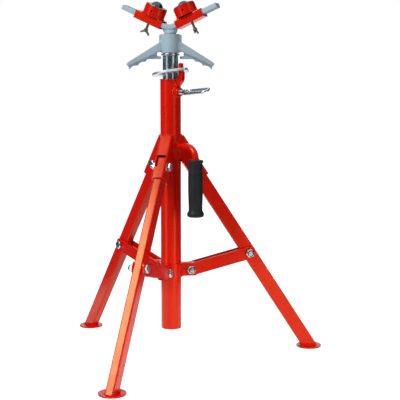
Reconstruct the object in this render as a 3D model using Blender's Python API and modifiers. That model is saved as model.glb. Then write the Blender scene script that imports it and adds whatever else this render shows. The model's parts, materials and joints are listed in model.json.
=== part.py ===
"""Folding pipe stand: a tripod with a telescoping mast and a vee head that carries two ball transfers.

Metres, +Z up.  The front leg points along -Y and the vee arms along X.  The origin is on the floor,
in the middle of the footprint's bounding box, so the post stands a little behind it.
"""

import math

import bmesh
import bpy
from mathutils import Matrix, Vector

# Clearances
SEAT_GAP = 0.0003          # pieces that are welded, bolted or pressed together
RUNNING_GAP = 0.0004       # pieces that slide or turn on each other
BOLT_HOLE_GAP = 0.0004     # bolt shank to its hole, on the radius
WELD_DISTANCE = 0.000001

# Facets
TUBE_STEPS = 32
SMALL_STEPS = 18
GRIP_STEPS = 24
HOUSING_STEPS = 24
ARC_STEPS = 6
BOLT_SIDES = 12

# Post
POST_RADIUS = 0.0225
POST_WALL = 0.0026
POST_BOTTOM = 0.0585
POST_TOP = 0.6125
UPPER_BUSH_LENGTH = 0.018

# Legs: the pivot is given by its distance from the post's axis and its height
LEG_ANGLE = math.radians(33.0)
LEG_PIVOT_REACH = 0.047
LEG_PIVOT_HEIGHT = 0.4245
LEG_WIDTH = 0.019
LEG_DEPTH = 0.030
LEG_WALL = 0.002
LEG_CORNER = 0.003
LEG_ABOVE_PIVOT = 0.0143
LEG_OUTWARD_TURN = {"front": math.radians(-90), "right": math.radians(30), "left": math.radians(150)}
FOOT_RADIUS = 0.0285
FOOT_THICKNESS = 0.004

# Leg brackets, measured along the leg from its pivot, but for their level tops
BRACKET_WALL = 0.0035
BRACKET_SIDE_GAP = 0.0005
BRACKET_FRONT_GAP = 0.001
BRACKET_BEND = 0.004
BRACKET_BELOW_PIVOT = 0.0354
BRACKET_ABOVE_PIVOT = 0.0660     # height of the level top above the pivot
WINDOW_ABOVE_PIVOT = 0.0187
WINDOW_BELOW_PIVOT = 0.0097

# Bolts and nuts
BOLT_RADIUS = 0.005
BOLT_FLATS = 0.017
BOLT_HEAD_HEIGHT = 0.0062
NUT_HEIGHT = 0.0095
BOLT_END_HEIGHT = 0.003
BOLT_CHAMFER = 0.001

# Collar and braces
COLLAR_WALL = 0.0032
COLLAR_HEIGHT = 0.031
COLLAR_PIVOT_REACH = 0.0435
COLLAR_PIVOT_HEIGHT = 0.1912
EAR_REACH = 0.056
EAR_WALL = 0.0025
EAR_HEIGHT = 0.0305
BRACE_PIVOT_DOWN_LEG = 0.238
BRACE_HEIGHT = 0.028
BRACE_THICKNESS = 0.003
BRACE_OUTER_END = 0.014
BRACE_INNER_END = 0.0105
BRACE_CHAMFER = 0.009

# Carry handle, between the front and the right leg
HANDLE_TURN = math.radians(-30)
HANDLE_REACH = 0.0847
HANDLE_ABOVE_LEG_PIVOT = 0.0432
HANDLE_ROD_RADIUS = 0.007
HANDLE_BEND = 0.026
GRIP_BELOW_HANDLE = 0.0267   # from the level rod's axis to the grip's top
GRIP_LENGTH = 0.123
GRIP_RADIUS = 0.0158
GRIP_NECK_RADIUS = 0.0142
GRIP_FLANGE_RADIUS = 0.018
GRIP_RIM_RADIUS = 0.0168
GRIP_FLANGE_HEIGHT = 0.006
GRIP_END_WALL = 0.005
GRIP_EDGE = 0.0015

# Mast lock: screw, boss and loop handle
LOCK_BELOW_POST_TOP = 0.028
LOCK_SCREW_RADIUS = 0.0048
LOCK_BOSS_RADIUS = 0.0095
LOCK_BOSS_REACH = 0.0335
LOCK_SHOULDER_RADIUS = 0.0062
LOCK_SHOULDER_START = 0.046
LOCK_SHOULDER_LENGTH = 0.010
LOOP_LENGTH = 0.073
LOOP_WIDTH = 0.024
LOOP_WIRE_RADIUS = 0.003
LOOP_TURN = math.radians(22)
LOOP_RISE = math.radians(5)

# Clutch plate and its hook
CLUTCH_RADIUS = 0.040
CLUTCH_THICKNESS = 0.005
CLUTCH_TILT = math.radians(10)
CLUTCH_FULCRUM_REACH = 0.036
CLUTCH_ABOVE_POST_TOP = 0.0132   # where the tilted plate's middle crosses the mast's axis
CLUTCH_LOBE_RADIUS = 0.012
HOOK_THICKNESS = 0.008
HOOK_STEM_WIDTH = 0.008
HOOK_ABOVE_FULCRUM = 0.015
HOOK_BULGE_REACH = 0.0445
HOOK_WELD_HEIGHT = 0.0135
HOOK_SLOT_GAP = 0.001

# Mast
MAST_RADIUS = 0.01685
MAST_WALL = 0.0032
MAST_BOTTOM = 0.075
MAST_ABOVE_POST_TOP = 0.0502
MAST_BUSH_LENGTH = 0.022
FLANGE_RADIUS = 0.0198
FLANGE_THICKNESS = 0.0042
FLANGE_SPIGOT = 0.012
FLANGE_SPIGOT_WALL = 0.0011
FLANGE_STEP_RADIUS = 0.017
FLANGE_STEP_HEIGHT = 0.0015

# Jack nut, measured from the mast's axis and from the underside of its hub
NUT_TURN = math.radians(21.4)
HUB_RADIUS = 0.0195
HUB_HEIGHT = 0.0404
HUB_RIB_REACH = 0.0245
HUB_RIB_THICKNESS = 0.015
HUB_RIB_INSET = 0.0015
WING_REACH = 0.095
WING_ROOT_TOP = 0.0275
WING_ROOT_BOTTOM = 0.0065
WING_TIP_TOP = -0.020
WING_TIP_BOTTOM = -0.029
WING_THICKNESS = 0.020
WING_TIP_CHAMFER = 0.003
WEB_THICKNESS = 0.006
WEB_FOOT_REACH = 0.0204
WEB_FOOT_TOP = -0.0075
WEB_FOOT_BOTTOM = -0.0136
WEB_NOTCH_REACH = 0.029
WEB_TIP_INSET = 0.004
SCALLOP_ENDS = ((0.0465, -0.0136), (0.0540, -0.0195), (0.0710, -0.0278), (0.0895, -0.0368))
SCALLOP_SAG = 0.18

# Jack screw and vee head
SCREW_RADIUS = 0.012
SCREW_LENGTH = 0.172
NECK_BOTTOM_RADIUS = 0.013
NECK_TOP_HALF_WIDTH = 0.0205
NECK_TOP_HALF_DEPTH = 0.0085
NECK_HEIGHT = 0.0095       # from the bottom of the neck to the underside of the trough
VEE_ANGLE = math.radians(24.0)
VEE_THICKNESS = 0.0106
VEE_DEPTH = 0.025
VEE_TROUGH_RADIUS = 0.033
VEE_ARM_LENGTH = 0.1166    # along an arm's top face, from where the two faces would cross

# Saddles, cups and ball transfers, measured along and square to an arm's top face
SADDLE_START = 0.016
SADDLE_LENGTH = 0.0658
SADDLE_DEPTH = 0.031
SADDLE_HEIGHT = 0.018
SADDLE_WALL = 0.0026
SADDLE_CORNER = 0.002
SADDLE_INNER_CORNER = 0.0005
CUP_OFFSET = -0.0035
CUP_RADIUS = 0.0245
CUP_WALL = 0.0027
CUP_HEIGHT = 0.0215
CUP_SLIT = 0.002
CUP_SLIT_TURN = math.radians(-18)
CUP_HOLE_RADIUS = 0.0025
CUP_HOLE_TURN = math.radians(-86)   # both holes face the front
BALL_RADIUS = 0.0142
BALL_HEIGHT = 0.0195       # centre of the ball above the saddle
BEARING_BALL_RADIUS = 0.0013
BEARING_BALL_GAP = 0.00025
BEARING_BALL_COUNT = 10
BEARING_BALL_DROP = math.radians(40)
LIP_RADIUS = 0.0236
LIP_THICKNESS = 0.002
LIP_BALL_GAP = 0.0004

# Wing screws
WING_SCREW_RADIUS = 0.0027
WING_SCREW_REACH = 0.0145   # from the saddle's underside to the wings
WING_SCREW_SPAN = 0.024
WING_SCREW_HEIGHT = 0.011
WING_SCREW_THICKNESS = 0.003
WING_SCREW_HUB_RADIUS = 0.0045
WING_SCREW_HUB_RISE = 0.002
WING_SCREW_ROOT_RISE = 0.0005
WING_SCREW_TURN = {"left": 0.0, "right": math.radians(90)}

# Finishes: colour, roughness, metallic
FINISHES = {
    "red_paint": ((0.66, 0.014, 0.003), 0.30, 0.0),
    "grey_paint": ((0.36, 0.43, 0.47), 0.45, 0.0),
    "zinc": ((0.72, 0.74, 0.74), 0.28, 1.0),
    "chrome": ((0.80, 0.81, 0.82), 0.08, 1.0),
    "black_rubber": ((0.020, 0.023, 0.025), 0.65, 0.0),
    "nylon": ((0.75, 0.74, 0.70), 0.50, 0.0),
}

# Derived places
HANDLE_HEIGHT = LEG_PIVOT_HEIGHT + HANDLE_ABOVE_LEG_PIVOT
GRIP_TOP = HANDLE_HEIGHT - GRIP_BELOW_HANDLE
GRIP_BOTTOM = GRIP_TOP - GRIP_LENGTH
LOCK_HEIGHT = POST_TOP - LOCK_BELOW_POST_TOP
CLUTCH_HEIGHT = POST_TOP + CLUTCH_ABOVE_POST_TOP
MAST_TOP = POST_TOP + MAST_ABOVE_POST_TOP
FOOT_REACH = LEG_PIVOT_REACH + (LEG_PIVOT_HEIGHT - FOOT_THICKNESS) * math.tan(LEG_ANGLE)
POST_AXIS_Y = FOOT_REACH / 4
BRACE_PIVOT = Vector((LEG_PIVOT_REACH + BRACE_PIVOT_DOWN_LEG * math.sin(LEG_ANGLE), 0.0,
                      LEG_PIVOT_HEIGHT - BRACE_PIVOT_DOWN_LEG * math.cos(LEG_ANGLE)))
COLLAR_PIVOT = Vector((COLLAR_PIVOT_REACH, 0.0, COLLAR_PIVOT_HEIGHT))
BRACE_LENGTH = (BRACE_PIVOT - COLLAR_PIVOT).length
BRACE_SLOPE = math.atan2(BRACE_PIVOT.z - COLLAR_PIVOT.z, BRACE_PIVOT.x - COLLAR_PIVOT.x)
BRACE_INSIDE = LEG_WIDTH / 2 + RUNNING_GAP
BRACE_OUTSIDE = BRACE_INSIDE + BRACE_THICKNESS
BRACKET_INSIDE = LEG_WIDTH / 2 + BRACKET_SIDE_GAP
BRACKET_OUTSIDE = BRACKET_INSIDE + BRACKET_WALL
BRACKET_FACE = LEG_DEPTH / 2 + BRACKET_FRONT_GAP + BRACKET_WALL
COLLAR_INNER_RADIUS = POST_RADIUS + RUNNING_GAP
COLLAR_RADIUS = COLLAR_INNER_RADIUS + COLLAR_WALL
POST_INNER_RADIUS = POST_RADIUS - POST_WALL
MAST_INNER_RADIUS = MAST_RADIUS - MAST_WALL
FLANGE_BOTTOM = MAST_TOP + SEAT_GAP
FLANGE_TOP = FLANGE_BOTTOM + FLANGE_THICKNESS + FLANGE_STEP_HEIGHT
HUB_BOTTOM = FLANGE_TOP + SEAT_GAP
NECK_BOTTOM = HUB_BOTTOM + HUB_HEIGHT + SEAT_GAP
TROUGH_RISE = 1 / math.cos(VEE_ANGLE) - 1
VEE_UNDERSIDE_RADIUS = VEE_TROUGH_RADIUS + VEE_THICKNESS
# Height where the arms' top faces would cross if the trough were sharp
VEE_CROSSING = NECK_BOTTOM + NECK_HEIGHT + VEE_THICKNESS - VEE_TROUGH_RADIUS * TROUGH_RISE
SADDLE_TOP = SEAT_GAP + SADDLE_WALL
CLUTCH_FULCRUM = Vector((CLUTCH_FULCRUM_REACH, 0.0,
                         CLUTCH_HEIGHT + CLUTCH_FULCRUM_REACH * math.tan(CLUTCH_TILT)))
HOOK_TOP = CLUTCH_FULCRUM.z + HOOK_ABOVE_FULCRUM
SHANK_HOLE = BOLT_RADIUS + BOLT_HOLE_GAP


def clear_scene():
    """Remove every object that the file opened with."""
    for thing in list(bpy.data.objects):
        bpy.data.objects.remove(thing, do_unlink=True)


def new_collection(name):
    collection = bpy.data.collections.new(name)
    bpy.context.scene.collection.children.link(collection)
    return collection


def make_material(name):
    """A Principled material of the named finish."""
    colour, roughness, metallic = FINISHES[name]
    material = bpy.data.materials.new(name)
    material.use_nodes = True
    shader = material.node_tree.nodes["Principled BSDF"]
    shader.inputs["Base Color"].default_value = (*colour, 1.0)
    shader.inputs["Roughness"].default_value = roughness
    shader.inputs["Metallic"].default_value = metallic
    material.diffuse_color = (*colour, 1.0)
    return material


class Builder:
    """Holds the collections, the materials and the frames that the pieces hang on."""

    def __init__(self):
        self.parts = new_collection("pipe_stand")
        self.cutters = new_collection("cutters")
        self.materials = {name: make_material(name) for name in FINISHES}
        self.post = self.frame("post_axis", None, (0, POST_AXIS_Y, 0), 0)
        self.legs = {}
        for side, turn in LEG_OUTWARD_TURN.items():
            self.legs[side] = self.frame(side + "_leg_axis", self.post, (0, 0, 0), turn)
        self.handle = self.frame("handle_axis", self.post, (0, 0, 0), HANDLE_TURN)
        self.nut = self.frame("nut_axis", self.post, (0, 0, HUB_BOTTOM), NUT_TURN)
        self.arms = {"right": self.frame("right_arm", self.post, (0, 0, VEE_CROSSING), 0),
                     "left": self.frame("left_arm", self.post, (0, 0, VEE_CROSSING), math.pi)}

    def frame(self, name, parent, location, turn):
        """An empty whose +X points outward at the given turn about Z."""
        empty = bpy.data.objects.new(name, None)
        empty.parent = parent
        empty.location = location
        empty.rotation_euler = (0, 0, turn)
        self.parts.objects.link(empty)
        return empty

    def add(self, name, mesh, finish, parent, location=(0, 0, 0), rotation=(0, 0, 0)):
        """One named piece, with its own material, hung on a frame."""
        thing = bpy.data.objects.new(name, mesh)
        material = self.materials[finish].copy()
        material.name = name
        mesh.materials.clear()
        mesh.materials.append(material)
        thing.parent = parent
        thing.location = location
        thing.rotation_euler = rotation
        self.parts.objects.link(thing)
        mesh.shade_smooth()
        mesh.set_sharp_from_angle(angle=math.radians(35))
        return thing

    def add_turned(self, name, profile, finish, parent, location=(0, 0, 0), rotation=(0, 0, 0),
                   steps=TUBE_STEPS):
        """A piece turned about its Z axis from a profile that runs down its outer side."""
        thing = self.add(name, profile_mesh(name, profile), finish, parent, location, rotation)
        add_screw(thing, steps)
        return thing

    def cut(self, thing, name, mesh, parent, location=(0, 0, 0), rotation=(0, 0, 0)):
        """Take the mesh out of a piece."""
        cutter = self.helper(name, mesh, parent, location, rotation)
        add_boolean(thing, cutter, "DIFFERENCE")
        return cutter

    def join(self, thing, name, mesh, parent, location=(0, 0, 0), rotation=(0, 0, 0)):
        """Fuse the mesh to a piece."""
        helper = self.helper(name, mesh, parent, location, rotation)
        add_boolean(thing, helper, "UNION")
        return helper

    def helper(self, name, mesh, parent, location, rotation):
        cutter = bpy.data.objects.new(name, mesh)
        cutter.parent = parent
        cutter.location = location
        cutter.rotation_euler = rotation
        cutter.hide_render = True
        cutter.display_type = "WIRE"
        self.cutters.objects.link(cutter)
        return cutter


def add_screw(thing, steps):
    screw = thing.modifiers.new("turned", "SCREW")
    screw.axis = "Z"
    screw.angle = 2 * math.pi
    screw.steps = steps
    screw.render_steps = steps
    screw.use_merge_vertices = True
    screw.merge_threshold = WELD_DISTANCE
    return screw


def add_boolean(thing, helper, operation):
    boolean = thing.modifiers.new(helper.name, "BOOLEAN")
    boolean.operation = operation
    boolean.object = helper
    return boolean


def profile_mesh(name, profile):
    """Edges along (radius, height) points, closed into a loop unless both ends lie on the axis."""
    mesh = bpy.data.meshes.new(name)
    count = len(profile)
    edges = [(index, index + 1) for index in range(count - 1)]
    if profile[0][0] > 0:
        edges.append((count - 1, 0))
    mesh.from_pydata([(radius, 0, height) for radius, height in profile], edges, [])
    return mesh


def ring_profile(outer, inner, bottom, top):
    """The section of a plain ring, down its outer side and up its inner side."""
    return [(outer, top), (outer, bottom), (inner, bottom), (inner, top)]


def arc(centre, radius, start, end, steps=ARC_STEPS):
    """Points on an arc from one angle to another, both ends included."""
    points = []
    for index in range(steps + 1):
        angle = start + (end - start) * index / steps
        points.append((centre[0] + radius * math.cos(angle), centre[1] + radius * math.sin(angle)))
    return points


def circle(centre, radius, steps=SMALL_STEPS):
    return arc(centre, radius, 0, 2 * math.pi, steps)[:-1]


def rounded_rectangle(width, height, corner, steps=3):
    """A rectangle about the origin with round corners."""
    points = []
    half_turn = math.pi / 2
    for index, (across, along) in enumerate(((1, 1), (-1, 1), (-1, -1), (1, -1))):
        centre = (across * (width / 2 - corner), along * (height / 2 - corner))
        points += arc(centre, corner, index * half_turn, (index + 1) * half_turn, steps)
    return points


def mesh_from_curve(name, curve):
    """The closed mesh of a curve, with its caps welded on."""
    holder = bpy.data.objects.new(name, curve)
    bpy.context.scene.collection.objects.link(holder)
    depsgraph = bpy.context.evaluated_depsgraph_get()
    mesh = bpy.data.meshes.new_from_object(holder.evaluated_get(depsgraph))
    mesh.name = name
    bpy.data.objects.remove(holder)
    bm = bmesh.new()
    bm.from_mesh(mesh)
    bmesh.ops.remove_doubles(bm, verts=bm.verts, dist=WELD_DISTANCE)
    bmesh.ops.recalc_face_normals(bm, faces=bm.faces)
    bm.to_mesh(mesh)
    bm.free()
    return mesh


def flat_solid(name, outline, thickness, holes=()):
    """An outline in XY, with holes, made a plate that reaches half its thickness either way in Z."""
    curve = bpy.data.curves.new(name, "CURVE")
    curve.dimensions = "2D"
    curve.fill_mode = "BOTH"
    curve.extrude = thickness / 2
    for loop in (outline, *holes):
        spline = curve.splines.new("POLY")
        spline.points.add(len(loop) - 1)
        for point, (across, along) in zip(spline.points, loop):
            point.co = (across, along, 0, 1)
        spline.use_cyclic_u = True
    return mesh_from_curve(name, curve)


def upright_plate(name, outline, thickness, holes=()):
    """A plate whose outline is given as (reach, height), standing in the XZ plane."""
    mesh = flat_solid(name, outline, thickness, holes)
    mesh.transform(Matrix.Rotation(math.pi / 2, 4, "X"))
    return mesh


def wire(name, points, radius, closed=False, resolution=4):
    """A round rod along a list of points."""
    curve = bpy.data.curves.new(name, "CURVE")
    curve.dimensions = "3D"
    curve.bevel_depth = radius
    curve.bevel_resolution = resolution
    curve.use_fill_caps = True
    spline = curve.splines.new("POLY")
    spline.points.add(len(points) - 1)
    for point, place in zip(spline.points, points):
        point.co = (*place, 1)
    spline.use_cyclic_u = closed
    return mesh_from_curve(name, curve)


def block(name, low, high):
    """A box between two corners."""
    bm = bmesh.new()
    bmesh.ops.create_cube(bm, size=1.0)
    size = Vector(high) - Vector(low)
    middle = (Vector(high) + Vector(low)) / 2
    bmesh.ops.scale(bm, vec=size, verts=bm.verts)
    bmesh.ops.translate(bm, vec=middle, verts=bm.verts)
    return finish_mesh(name, bm)


def rod(name, radius, bottom, top, axis="Z", steps=SMALL_STEPS):
    """A plain cylinder along an axis through the origin."""
    bm = bmesh.new()
    bmesh.ops.create_cone(bm, cap_ends=True, segments=steps, radius1=radius, radius2=radius,
                          depth=top - bottom)
    bmesh.ops.translate(bm, vec=(0, 0, (top + bottom) / 2), verts=bm.verts)
    turn_to_axis(bm, axis)
    return finish_mesh(name, bm)


def turn_to_axis(bm, axis):
    """Lay what was built along Z along another axis."""
    if axis == "X":
        bmesh.ops.rotate(bm, verts=bm.verts, matrix=Matrix.Rotation(math.pi / 2, 3, "Y"))
    elif axis == "Y":
        bmesh.ops.rotate(bm, verts=bm.verts, matrix=Matrix.Rotation(-math.pi / 2, 3, "X"))


def finish_mesh(name, bm):
    bmesh.ops.recalc_face_normals(bm, faces=bm.faces)
    mesh = bpy.data.meshes.new(name)
    bm.to_mesh(mesh)
    bm.free()
    return mesh


def loft(bm, rings, closed=False):
    """Skin rings of equally many points; the ends are capped unless the rings close on themselves."""
    loops = [[bm.verts.new(point) for point in ring] for ring in rings]
    pairs = list(zip(loops, loops[1:]))
    if closed:
        pairs.append((loops[-1], loops[0]))
    for lower, upper in pairs:
        count = len(lower)
        for index in range(count):
            following = (index + 1) % count
            bm.faces.new((lower[index], lower[following], upper[following], upper[index]))
    if not closed:
        bm.faces.new(loops[0])
        bm.faces.new(loops[-1])


def round_ring(radius, height):
    """A ring of points about Z that lines up with hex_ring."""
    step = 2 * math.pi / BOLT_SIDES
    return [Vector((radius * math.cos(index * step), radius * math.sin(index * step), height))
            for index in range(BOLT_SIDES)]


def hex_ring(flats, height):
    """The same number of points on a hexagon: its corners and the middles of its flats."""
    middle = flats / 2
    corner = middle / math.cos(math.pi / 6)
    step = 2 * math.pi / BOLT_SIDES
    points = []
    for index in range(BOLT_SIDES):
        radius = corner if index % 2 == 0 else middle
        points.append(Vector((radius * math.cos(index * step), radius * math.sin(index * step), height)))
    return points


def head_rings(underside):
    """A hexagon head that sits on a face at the given height."""
    top = underside + BOLT_HEAD_HEIGHT
    return [hex_ring(BOLT_FLATS, underside), hex_ring(BOLT_FLATS, top - BOLT_CHAMFER),
            round_ring(BOLT_FLATS / 2 - BOLT_CHAMFER, top)]


def bolt_rings(grip_end, underside):
    """A bolt whose shank ends at grip_end and whose head sits at underside."""
    return [round_ring(BOLT_RADIUS, grip_end), round_ring(BOLT_RADIUS, underside)] + head_rings(underside)


def nut_rings(underside, inner):
    """A lock nut with a bore, standing on a face at the given height."""
    top = underside + NUT_HEIGHT
    dome = BOLT_FLATS / 2 - BOLT_CHAMFER
    hexagon_top = top - NUT_HEIGHT / 3
    return [round_ring(inner, underside), hex_ring(BOLT_FLATS, underside),
            hex_ring(BOLT_FLATS, hexagon_top), round_ring(dome, hexagon_top + BOLT_CHAMFER),
            round_ring(dome, top - BOLT_CHAMFER), round_ring(dome - BOLT_CHAMFER, top),
            round_ring(inner, top)]


def closed_nut_rings(grip_end, underside):
    """A lock nut with the end of its bolt in it, and a stub of shank as far as grip_end."""
    top = underside + NUT_HEIGHT
    dome = BOLT_FLATS / 2 - BOLT_CHAMFER
    hexagon_top = top - NUT_HEIGHT / 3
    return [round_ring(BOLT_RADIUS, grip_end), round_ring(BOLT_RADIUS, underside),
            hex_ring(BOLT_FLATS, underside), hex_ring(BOLT_FLATS, hexagon_top),
            round_ring(dome, hexagon_top + BOLT_CHAMFER), round_ring(dome, top - BOLT_CHAMFER),
            round_ring(dome - BOLT_CHAMFER, top), round_ring(BOLT_RADIUS, top),
            round_ring(BOLT_RADIUS, top + BOLT_END_HEIGHT - BOLT_CHAMFER),
            round_ring(BOLT_RADIUS - BOLT_CHAMFER, top + BOLT_END_HEIGHT)]


def across(rings, place=Vector((0, 0, 0)), side=1):
    """Lay rings built along Z along Y, to one side, and move them to a place."""
    turn = Matrix.Rotation(-side * math.pi / 2, 3, "X")
    return [[turn @ point + place for point in ring] for ring in rings]


def fastener_mesh(name, rings, closed=False):
    bm = bmesh.new()
    loft(bm, rings, closed)
    return finish_mesh(name, bm)


def make_post(builder):
    tube = ring_profile(POST_RADIUS, POST_INNER_RADIUS, POST_BOTTOM, POST_TOP)
    post = builder.add_turned("outer_tube", tube, "red_paint", builder.post)
    builder.cut(post, "lock_screw_hole",
                rod("lock_screw_hole", LOCK_SCREW_RADIUS + BOLT_HOLE_GAP, 0, POST_RADIUS * 2, "X"),
                builder.handle, (0, 0, LOCK_HEIGHT))
    bush = ring_profile(POST_INNER_RADIUS - SEAT_GAP, MAST_RADIUS + RUNNING_GAP,
                        POST_TOP - UPPER_BUSH_LENGTH, POST_TOP)
    builder.add_turned("upper_bush", bush, "nylon", builder.post)


def cope_to_post(builder, thing):
    """Shape the end of a welded piece to the post, with a seat gap."""
    name = thing.name + "_cope"
    builder.cut(thing, name, rod(name, POST_RADIUS + SEAT_GAP, 0, POST_TOP * 2, steps=TUBE_STEPS),
                builder.post)


def bracket_outline():
    """The section of a bracket's channel: open towards the post, with bent outer corners."""
    half = BRACKET_OUTSIDE
    inside = BRACKET_INSIDE
    back = -LEG_DEPTH / 2
    face = BRACKET_FACE
    bend = BRACKET_BEND
    upper_bend = arc((face - bend, half - bend), bend, math.pi / 2, 0, 4)
    lower_bend = arc((face - bend, -half + bend), bend, 0, -math.pi / 2, 4)
    web = face - BRACKET_WALL
    return [(back, half), *upper_bend, *lower_bend, (back, -half), (back, -inside), (web, -inside),
            (web, inside), (back, inside)]


def make_bracket(builder, side):
    """A channel round the top of a leg, with a window that its end swings through, and a stop strip."""
    top = BRACKET_ABOVE_PIVOT / math.cos(LEG_ANGLE) + LEG_DEPTH
    length = top + BRACKET_BELOW_PIVOT
    mesh = flat_solid("leg_bracket_" + side, bracket_outline(), length)
    mesh.transform(Matrix.Translation((0, 0, top - length / 2)))
    place = (LEG_PIVOT_REACH, 0, LEG_PIVOT_HEIGHT)
    turn = (0, -LEG_ANGLE, 0)
    bracket = builder.add("leg_bracket_" + side, mesh, "red_paint", builder.legs[side], place, turn)
    window = block("bracket_window_" + side,
                   (LEG_DEPTH / 2, -BRACKET_INSIDE, -WINDOW_BELOW_PIVOT),
                   (BRACKET_FACE + BRACKET_WALL, BRACKET_INSIDE, WINDOW_ABOVE_PIVOT))
    builder.cut(bracket, window.name, window, builder.legs[side], place, turn)
    hole = rod("bracket_hole_" + side, SHANK_HOLE, -BRACKET_OUTSIDE * 2, BRACKET_OUTSIDE * 2, "Y")
    builder.cut(bracket, hole.name, hole, builder.legs[side], place, turn)
    level = LEG_PIVOT_HEIGHT + BRACKET_ABOVE_PIVOT
    crop = block("bracket_top_" + side, (-POST_RADIUS * 3, -BRACKET_OUTSIDE * 2, level),
                 (LEG_PIVOT_REACH * 2, BRACKET_OUTSIDE * 2, level + length))
    builder.cut(bracket, crop.name, crop, builder.legs[side])
    cope_to_post(builder, bracket)


def make_leg(builder, side):
    """A rectangular tube that hangs from its pivot and is cut level at the foot plate."""
    name = "leg_" + side
    place = (LEG_PIVOT_REACH, 0, LEG_PIVOT_HEIGHT)
    turn = (0, -LEG_ANGLE, 0)
    below = LEG_PIVOT_HEIGHT / math.cos(LEG_ANGLE) + LEG_DEPTH
    length = below + LEG_ABOVE_PIVOT
    mesh = flat_solid(name, rounded_rectangle(LEG_DEPTH, LEG_WIDTH, LEG_CORNER), length,
                      [rounded_rectangle(LEG_DEPTH - 2 * LEG_WALL, LEG_WIDTH - 2 * LEG_WALL,
                                         LEG_CORNER - LEG_WALL / 2, 1)])
    mesh.transform(Matrix.Translation((0, 0, LEG_ABOVE_PIVOT - length / 2)))
    leg = builder.add(name, mesh, "red_paint", builder.legs[side], place, turn)
    floor = block("floor_cut_" + side, (0, -LEG_WIDTH, -LEG_PIVOT_HEIGHT),
                  (FOOT_REACH * 2, LEG_WIDTH, FOOT_THICKNESS + SEAT_GAP))
    builder.cut(leg, floor.name, floor, builder.legs[side])
    for label, height in (("top", 0), ("brace", -BRACE_PIVOT_DOWN_LEG)):
        hole = rod("leg_hole_" + label + "_" + side, SHANK_HOLE, -LEG_WIDTH, LEG_WIDTH, "Y")
        hole.transform(Matrix.Translation((0, 0, height)))
        builder.cut(leg, hole.name, hole, builder.legs[side], place, turn)
    plate = rod("foot_plate_" + side, FOOT_RADIUS, 0, FOOT_THICKNESS, steps=TUBE_STEPS)
    builder.add("foot_plate_" + side, plate, "red_paint", builder.legs[side], (FOOT_REACH, 0, 0))


def add_bolt(builder, name, side, place, face):
    """A bolt across a leg's plane, from the nut on one face to the head on the other, and its nut."""
    end = -(face + NUT_HEIGHT + BOLT_END_HEIGHT)
    bolt = fastener_mesh(name + "_bolt_" + side, across(bolt_rings(end, face)))
    builder.add(bolt.name, bolt, "zinc", builder.legs[side], place)
    rings = across(nut_rings(face, BOLT_RADIUS + SEAT_GAP), side=-1)
    nut = fastener_mesh(name + "_nut_" + side, rings, closed=True)
    builder.add(nut.name, nut, "zinc", builder.legs[side], place)


def make_collar(builder):
    """The collar that slides on the post: a sleeve with three ears, and the bolts through them."""
    half = COLLAR_HEIGHT / 2
    level = (0, 0, COLLAR_PIVOT_HEIGHT)
    collar = builder.add_turned("collar", ring_profile(COLLAR_RADIUS, COLLAR_INNER_RADIUS, -half, half),
                                "red_paint", builder.post, level)
    for side in LEG_OUTWARD_TURN:
        builder.join(collar, "ear_" + side, ear_mesh(side), builder.legs[side], level)
        hole = rod("ear_hole_" + side, SHANK_HOLE, -LEG_WIDTH, LEG_WIDTH, "Y")
        builder.cut(collar, hole.name, hole, builder.legs[side], COLLAR_PIVOT)
        add_bolt(builder, "collar", side, COLLAR_PIVOT, BRACE_OUTSIDE + SEAT_GAP)


def ear_mesh(side):
    """A short rectangular tube that stands out from the collar between two brace bars."""
    root = COLLAR_INNER_RADIUS + COLLAR_WALL / 2
    length = EAR_REACH - root
    hollow = rounded_rectangle(EAR_HEIGHT - 2 * EAR_WALL, LEG_WIDTH - 2 * EAR_WALL, LEG_CORNER / 2, 1)
    mesh = flat_solid("ear_" + side, rounded_rectangle(EAR_HEIGHT, LEG_WIDTH, LEG_CORNER), length, [hollow])
    mesh.transform(Matrix.Rotation(math.pi / 2, 4, "Y"))
    mesh.transform(Matrix.Translation((root + length / 2, 0, 0)))
    return mesh


def brace_outline():
    """A flat bar from its collar bolt, at the origin, to a round end at the leg."""
    half = BRACE_HEIGHT / 2
    end = BRACE_LENGTH + BRACE_OUTER_END
    corner = half * 0.75
    outer = arc((end - corner, -half + corner), corner, -math.pi / 2, 0, 5)
    outer += arc((end - corner, half - corner), corner, 0, math.pi / 2, 5)
    return [(-BRACE_INNER_END + BRACE_CHAMFER, -half), *outer, (-BRACE_INNER_END, half),
            (-BRACE_INNER_END, -half + BRACE_CHAMFER)]


def make_braces(builder, side):
    """Two brace bars, one on each face of a leg, with the bolt and the nut that hold them to it."""
    turn = (0, -BRACE_SLOPE, 0)
    holes = [circle((0, 0), SHANK_HOLE), circle((BRACE_LENGTH, 0), SHANK_HOLE)]
    middle = (BRACE_INSIDE + BRACE_OUTSIDE) / 2
    for hand, sign in (("left", 1), ("right", -1)):
        name = "brace_bar_" + side + "_" + hand
        mesh = upright_plate(name, brace_outline(), BRACE_THICKNESS, holes)
        mesh.transform(Matrix.Translation((0, sign * middle, 0)))
        builder.add(name, mesh, "red_paint", builder.legs[side], COLLAR_PIVOT, turn)
    far_end = Vector((BRACE_LENGTH, 0, 0))
    face = BRACE_OUTSIDE + SEAT_GAP
    stub = BRACE_INSIDE + SEAT_GAP / 2
    bolt = fastener_mesh("brace_bolt_" + side, across(bolt_rings(stub, face), far_end))
    builder.add("brace_bolt_" + side, bolt, "zinc", builder.legs[side], COLLAR_PIVOT, turn)
    nut = fastener_mesh("brace_nut_" + side, across(closed_nut_rings(stub, face), far_end, side=-1))
    builder.add("brace_nut_" + side, nut, "zinc", builder.legs[side], COLLAR_PIVOT, turn)


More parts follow.
